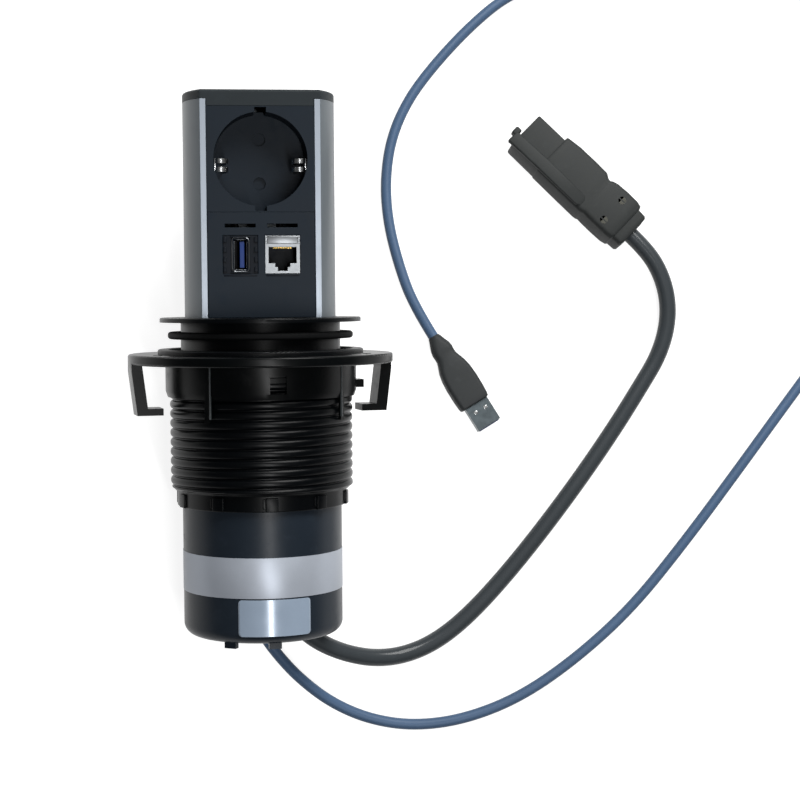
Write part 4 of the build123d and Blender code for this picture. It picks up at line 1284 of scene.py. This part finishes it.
@dataclass
class ClampNut:
    """The nut with its hooks, tongues and release step, and the washer on it.

    Attributes:
        edge: radius of the nut's edges.
        top: height of its disc's upper face.
        low: height of its disc's lower face.
        mark_place: radius at which the oval marks lie.
        mark_turns: their angles from the front, in degrees.
        skirt: radius of the skirt.
        rib_end: height where the ribs over the tongues end.
        rib_turns: their angles from the front, in degrees.
    """

    edge: float = 0.4
    top: float = -15.8
    low: float = -20.1
    mark_place: float = 50.5
    mark_turns: tuple[float, ...] = (-62.0, 62.0)
    skirt: float = 41.8
    rib_end: float = -42.6
    rib_turns: tuple[float, ...] = (-33.1, 53.1, 146.9, 233.1)

    def build(self) -> None:
        """Makes the nut, its two oval marks, its ribs in a lighter tone that paints their highlight, and its
        washer.
        """
        softened("clamp_nut", "nut_casting", Look.NUT, "nut", self.edge)
        softened("thrust_washer", "nut_washer_ring", Look.WASHER, "nut_washer", 0.3)
        oval = raised(about(0.0, 2.4), -self.mark_place, (self.top - 0.2, self.top + 0.25),
                      out=1.1, into=1.1, edge=0.2)
        Shell().add_round(self.mark_turns, oval).settle("nut_marks", Look.NUT, "nut")
        rib = raised(about(0.0, 0.35), -self.skirt, (self.rib_end, self.low + 0.2),
                     out=0.4, into=0.7, edge=0.3)
        # The ribs' lighter finish is a painted highlight.
        Shell().add_round(self.rib_turns, rib).settle("nut_ribs", Look.RIB_HIGHLIGHT, "nut")


@dataclass
class Column:
    """The sprung column: its drawn profile, its cap and its front modules.

    Attributes:
        clip_up: height of the earth springs' middle.
        clip_path: bends of a spring from the recess's wall inwards, across and in depth.
        clip_thick: thickness of its strip.
        clip_bend: radius of its bends.
        clip_ease: height of the eased edges of a prong.
        clip_edge: share of its thickness that a prong has at those edges.
        prongs: lower and upper edge of each prong, from the springs' middle.
        foot: depth of the front and the back of the plate that a spring stands on.
        foot_across: how far out that plate lies.
        foot_half: half of its height.
    """

    clip_up: float = 65.0
    clip_path: tuple[Pair, ...] = ((19.6, -15.6), (18.6, -18.7), (15.6, -18.9), (13.7, -16.6),
                                   (14.0, -11.0), (15.9, -6.5), (16.1, -3.5))
    clip_thick: float = 0.6
    clip_bend: float = 1.2
    clip_ease: float = 0.15
    clip_edge: float = 0.6
    foot: Pair = (-17.6, -8.0)
    foot_across: Pair = (18.9, 19.7)
    foot_half: float = 2.9
    prongs: tuple[Pair, ...] = ((-2.9, -0.7), (0.7, 2.9))

    def blade(self, side: int, low: float, high: float) -> np.ndarray:
        """One prong of an earth spring: its bent path, made thick along its own normals.

        The section at each height is the path followed by the path moved inwards, and it is carried
        from the prong's lower to its upper edge with a small ease at both.

        Args:
            side: -1 on the left and 1 on the right.
            low: lower edge, from the springs' middle.
            high: upper edge.

        Returns:
            The rows of points.
        """
        path = eased(list(self.clip_path), self.clip_bend, 4, False)
        apart = np.linalg.norm(np.diff(path, axis=0), axis=1) > 1e-4
        path = path[np.concatenate([[True], apart])]
        run = np.gradient(path, axis=0)
        normal = np.stack([run[:, 1], -run[:, 0]], -1) / np.linalg.norm(run, axis=1, keepdims=True)
        rows = []
        ease, edge = self.clip_ease, self.clip_edge
        for height, share in ((low, edge), (low + ease, 1.0), (high - ease, 1.0), (high, edge)):
            half = normal * self.clip_thick / 2 * share
            section = np.concatenate([path - half, (path + half)[::-1]])
            rows.append(np.column_stack([side * section[:, 0], section[:, 1],
                                         np.full(len(section), self.clip_up + height)]))
        return np.array(rows)

    def earth_springs(self) -> None:
        """Makes the pronged earth springs at both sides of the recess."""
        shell = Shell()
        for side in (-1, 1):
            for low, high in self.prongs:
                shell.add(self.blade(side, low, high))
            left, right = sorted(side * place for place in self.foot_across)
            low, high = about(self.clip_up, self.foot_half)
            shell.add(soft_block((left, self.foot[0], low), (right, self.foot[1], high), self.clip_ease))
        shell.settle("earth_springs", Look.STEEL, "column", ("earth_clips",))

    def build(self) -> None:
        """Makes the column's visible pieces."""
        profile = softened("column_profile", "drawn_profile", Look.PROFILE, "column", 0.22)
        # Front-facing faces of the profile get the lighter copy of its aluminium: painted light.
        repaint(profile, Look.LIT_LIP, lambda place, normal: (normal[:, 1] < -0.9) & (place[:, 1] < -20.0))
        softened("top_cap", "cap_lid", Look.CAP, "column", 0.4)
        softened("socket_body", "socket_face", Look.FRONT, "column", 0.3)
        softened("data_plate", "port_face", Look.FRONT, "column", 0.22)
        softened("front_filler", "filler_face", Look.FRONT, "column", 0.22)
        self.earth_springs()


@dataclass
class DataPorts:
    """The upright USB port and the network port in their keystone frames.

    Attributes:
        front: depth of the front panels.
        up: height of the ports' middle.
        usb: where the USB port's middle lies across.
        network: where the network port's middle lies across.
        rims: width, height, corner and depth behind the front of each outline of the USB rim.
        rim_painted_shade: half of the width and of the height in which that rim is dark.
        jack_painted_shade: half of the square in which the network port is dark.
        crenel_place: how far the crenels' middles lie beside the port's.
        crenel_pitch: how far they are apart.
        clips: height of the USB frame's two clips, from the ports' middle.
        corners: height of the castellations' middles, from the ports' middle.
        corner_place: how far they lie beside the port's middle.
        corner_half: half of their side.
    """

    front: float = -20.75
    up: float = 26.91
    usb: float = -9.0
    network: float = 9.0
    rims: tuple[tuple[float, ...], ...] = (
        (7.7, 15.2, 2.6, 0.5), (7.8, 15.3, 2.6, -0.15), (7.3, 14.8, 2.4, -0.3),
        (6.7, 14.2, 1.8, -0.15), (5.5, 12.8, 0.8, 0.15), (5.3, 12.6, 0.7, 1.2))
    rim_painted_shade: Pair = (3.2, 6.95)
    jack_painted_shade: float = 7.0
    crenel_place: float = 6.6
    crenel_pitch: float = 4.2
    clips: Pair = (-8.0, 7.2)
    corners: Pair = (5.2, 6.9)
    corner_place: float = 7.0
    corner_half: float = 0.55

    def rim(self) -> np.ndarray:
        """The USB port's flared rim: rounded outlines carried from its outer wall to its inner one."""
        loops = []
        for wide, tall, corner, depth in self.rims:
            outline = eased([(-wide / 2, -tall / 2), (wide / 2, -tall / 2), (wide / 2, tall / 2),
                             (-wide / 2, tall / 2)], corner, 6)
            loops.append(np.stack([outline[:, 0] + self.usb, np.full(len(outline), self.front + depth),
                                   outline[:, 1] + self.up], -1))
        return np.array(loops)

    def teeth(self) -> Shell:
        """The USB frame's crenels along its left and right edges, its clips, and a dark strip under each frame
        that paints the shade of the gap below it.
        """
        shell = Shell()
        for side in (-1, 1):
            for step in (-1.5, -0.5, 0.5, 1.5):
                shell.add(raised(about(self.usb + side * self.crenel_place, 0.8), self.front,
                                 about(self.up + step * self.crenel_pitch, 1.1),
                                 out=0.45, into=0.8, edge=0.22))
        for height in self.clips:
            shell.add(raised(about(self.usb, 4.2), self.front, (self.up + height, self.up + height + 0.8),
                             out=0.35, into=0.8, edge=0.2))
        # Dark strips under both frames: painted shade of the gaps beneath the keystones.
        for middle in (self.usb, self.network):
            shell.add(raised(about(middle, 7.1), self.front, (self.up - 9.3, self.up - 8.45),
                             out=0.12, into=0.8, edge=0.2))
        return shell

    def keystone(self) -> Shell:
        """The network port's raised top band and the castellations at its corners."""
        shell = Shell().add(raised(about(self.network, 6.6), self.front, (self.up + 4.6, self.up + 7.9),
                                   out=0.35, into=0.9, edge=0.3))
        for side in (-1, 1):
            for height in self.corners:
                shell.add(raised(about(self.network + side * self.corner_place, self.corner_half), self.front,
                                 about(self.up + height, self.corner_half),
                                 out=0.3, into=0.8, edge=0.18))
        return shell

    def build(self) -> None:
        """Makes both ports."""
        softened("usb_adapter", "usb_frame", Look.ADAPTER, "column", 0.2)
        shell = softened("usb_port_shell", "usb_shell", Look.PORT, "column", 0.1)
        # The shell's faces more than 2 mm behind the front get the dark adapter finish: painted shade inside the
        # port.
        repaint(shell, Look.ADAPTER, lambda place, normal: place[:, 1] > self.front + 2.0)
        softened("usb_port_tongue", "usb_blade", Look.BLUE, "column", 0.12)
        jack = softened("rj45_jack", "network_jack", Look.PORT, "column", 0.2)
        # The jack's inside behind the front gets the dark adapter finish: painted shade.
        repaint(jack, Look.ADAPTER, lambda place, normal: (place[:, 1] > self.front + 1.0)
                & (np.abs(place[:, 0] - self.network) < self.jack_painted_shade)
                & (np.abs(place[:, 2] - self.up) < self.jack_painted_shade))
        rim = Shell().add(self.rim(), ring=True).settle("usb_rim", Look.PORT, "column")
        # The rim's inner faces get the dark adapter finish: painted shade inside the port.
        repaint(rim, Look.ADAPTER, lambda place, normal: (np.abs(place[:, 0] - self.usb) < self.rim_painted_shade[0])
                & (np.abs(place[:, 2] - self.up) < self.rim_painted_shade[1]))
        self.teeth().settle("usb_crenels", Look.ADAPTER, "column")
        self.keystone().settle("network_band", Look.PORT, "column")


@dataclass
class InnerParts:
    """The hidden parts that give way as something moves: two wirings and two springs.

    Attributes:
        wire_end: height at which the wirings enter the column.
        wire_foot: height of the base plate that they stand on.
        wire_gap: what is left between a wiring's two parts when the column is down.
        shutter_way: how far the shutter slides, in metres; not used.
        leaf_keep: share of its depth that the pressed leaf keeps; not used.
    """

    wire_end: float = -14.0
    wire_foot: float = -116.5
    wire_gap: float = 0.06
    shutter_way: float = 0.006
    leaf_keep: float = 0.3

    def half(self, node: str, name: str, side: int) -> bpy.types.Mesh:
        """The part of a wiring on one side of the column's foot, closed where it is cut.

        Args:
            node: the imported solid.
            name: the mesh's name.
            side: 1 for the part above and -1 for the part below.

        Returns:
            The mesh.
        """
        mesh = merged(node, name)
        with reworked(mesh) as work:
            bmesh.ops.bisect_plane(work, geom=[*work.verts, *work.edges, *work.faces],
                                   plane_co=Layout.lay((0.0, 0.0, self.wire_end)),
                                   plane_no=Layout.up * side, clear_inner=True)
            bmesh.ops.holes_fill(work, edges=[edge for edge in work.edges if edge.is_boundary])
        return mesh

    def build(self) -> None:
        """Makes the wirings, each cut in two where it enters the column, and the springs."""
        travel = JOINTS["column_lift"]["range_m"]
        keep = 1.0 - ((travel[1] - travel[0]) / MM + self.wire_gap) / (self.wire_end - self.wire_foot)
        for node in ("mains_wires", "data_wire"):
            name = f"{node}_lower"
            lower = settle(self.half(node, name, -1), name, Look.WIRE, "casing", (node,))
            tuple(Layout.up)
            tuple(Layout.lay((0.0, 0.0, self.wire_foot)))
            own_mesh(lower)
            name = f"{node}_upper"
            settle(self.half(node, name, 1), name, Look.WIRE, "column")
        spring = softened("shutter_spring", "shutter_coil", Look.SPRING, "column")
        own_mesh(spring)
        leaf = softened("latch_leaf_spring", "latch_leaf", Look.SPRING, "casing")
        places = Layout.stand(gathered(leaf.data.vertices, "co", 3))
        tuple(Layout.back)
        tuple(Layout.lay((0.0, places[:, 1].min(), 0.0)))
        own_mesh(leaf)


# Studio
@dataclass
class Studio:
    """White table, soft lamps, white room and the camera.

    Attributes:
        place: the camera's place.
        ahead: where it looks.
        above: its upward direction.
        lens: focal length on a sensor 36 mm wide.
        lamps: place, width and length in metres, power and colour of each lamp.
        room: strength of the light all round; the camera itself sees white.
        side: half of the table's width in metres.
        paper: darkest and lightest tone of the table.
        glow: light that the table adds for the eye and for reflections.
        bounce: tone of the table for all other light.
    """

    place: Point = (-0.0296, -0.1239, 0.8407)
    ahead: Point = (0.1138, 0.1362, -0.9841)
    above: Point = (0.0133, 0.9903, 0.1386)
    lens: float = 81.0
    lamps: tuple[tuple[Point, Pair, float, Colour], ...] = (
        ((0.42, 0.75, 0.9), (0.7, 0.7), 20.0, (1.0, 0.995, 0.98)),
        ((0.15, -0.48, 1.15), (0.045, 0.75), 7.0, (1.0, 1.0, 1.0)),
    )
    room: float = 0.08
    side: float = 20.0
    paper: Pair = (0.34, 0.35)
    glow: float = 0.88
    bounce: float = 0.3

    def camera(self) -> None:
        """Makes the camera: its columns are right, up and backwards."""
        ahead, above = Vector(self.ahead).normalized(), Vector(self.above)
        right = ahead.cross(above).normalized()
        turn = Matrix((right, right.cross(ahead), -ahead)).transposed().to_4x4()
        data = bpy.data.cameras.new("camera")
        data.lens, data.sensor_width = self.lens, 36.0
        data.clip_start, data.clip_end = 0.01, 20.0
        camera = placed("camera", data)
        camera.matrix_world = Matrix.Translation(self.place) @ turn
        bpy.context.scene.camera = camera

    def table(self) -> None:
        """The table: white with the object's shadow on it for the eye, grey for all other light."""
        mesh = bpy.data.meshes.new("table_top")
        side = self.side
        mesh.from_pydata([(-side, -side, 0), (side, -side, 0), (side, side, 0), (-side, side, 0)], [],
                         [(0, 1, 2, 3)])
        graph = Graph(bpy.data.materials.new("table_white"))
        tone = graph.blend(graph.noise(0.4, 2.0), *((grey,) * 3 for grey in self.paper))
        lit = graph.node("ShaderNodeBsdfDiffuse", None, {"Color": tone})
        glow = graph.node("ShaderNodeEmission", None, {"Color": WHITE, "Strength": self.glow})
        seen = graph.node("ShaderNodeAddShader", None, {0: lit, 1: glow})
        plain = graph.node("ShaderNodeBsdfDiffuse", None, {"Color": (self.bounce,) * 3 + (1.0,)})
        graph.end(graph.node("ShaderNodeMixShader", None,
                             {0: graph.rays("Camera", "Glossy", "Transmission"), 1: plain, 2: seen}))
        mesh.materials.append(graph.owner)
        placed("table_top", mesh)

    def light(self) -> None:
        """The lamps, which look at the unit's middle, and the soft light all round."""
        for index, (place, size, power, colour) in enumerate(self.lamps):
            data = bpy.data.lights.new(f"lamp_{index}", "AREA")
            data.shape, data.energy, data.color = "RECTANGLE", power, colour
            data.size, data.size_y = size
            lamp = placed(f"lamp_{index}", data)
            lamp.matrix_world = (Matrix.Translation(place)
                                 @ Vector(place).to_track_quat("Z", "Y").to_matrix().to_4x4())
        world = bpy.data.worlds.new("white_room")
        bpy.context.scene.world = world
        graph = Graph(world)
        dim, white = (graph.node("ShaderNodeBackground", None, {"Color": WHITE, "Strength": strength})
                      for strength in (self.room, 1.0))
        graph.end(graph.node("ShaderNodeMixShader", None, {0: graph.rays("Camera"), 1: dim, 2: white}),
                  "ShaderNodeOutputWorld")


def dress_nodes() -> None:
    """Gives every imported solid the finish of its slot."""
    for node, piece in frame["nodes"].items():
        finish = NODE_LOOKS.get(node, SLOT_LOOKS[SLOTS[node]]).value.material()
        if not piece.material_slots:
            piece.data.materials.append(finish)
        for place in piece.material_slots:
            place.material = finish


def main() -> None:
    """Builds the socket and the studio round it."""
    studio = Studio()
    studio.camera()
    mains, data = Leads().build()
    dress_nodes()
    mains.declare(MainsConnector().build())
    data.declare(DataPlug().build())
    for assembly in (ThreadedCasing(), LowerTube(), ClampNut(), Column(), DataPorts(), InnerParts()):
        assembly.build()
        LOG.info("%s is built", type(assembly).__name__)
    studio.table()
    studio.light()
    bpy.context.scene.view_settings.view_transform = "Standard"


if __name__ == "__main__":
    logging.basicConfig(level=logging.INFO, format="%(message)s")
    main()
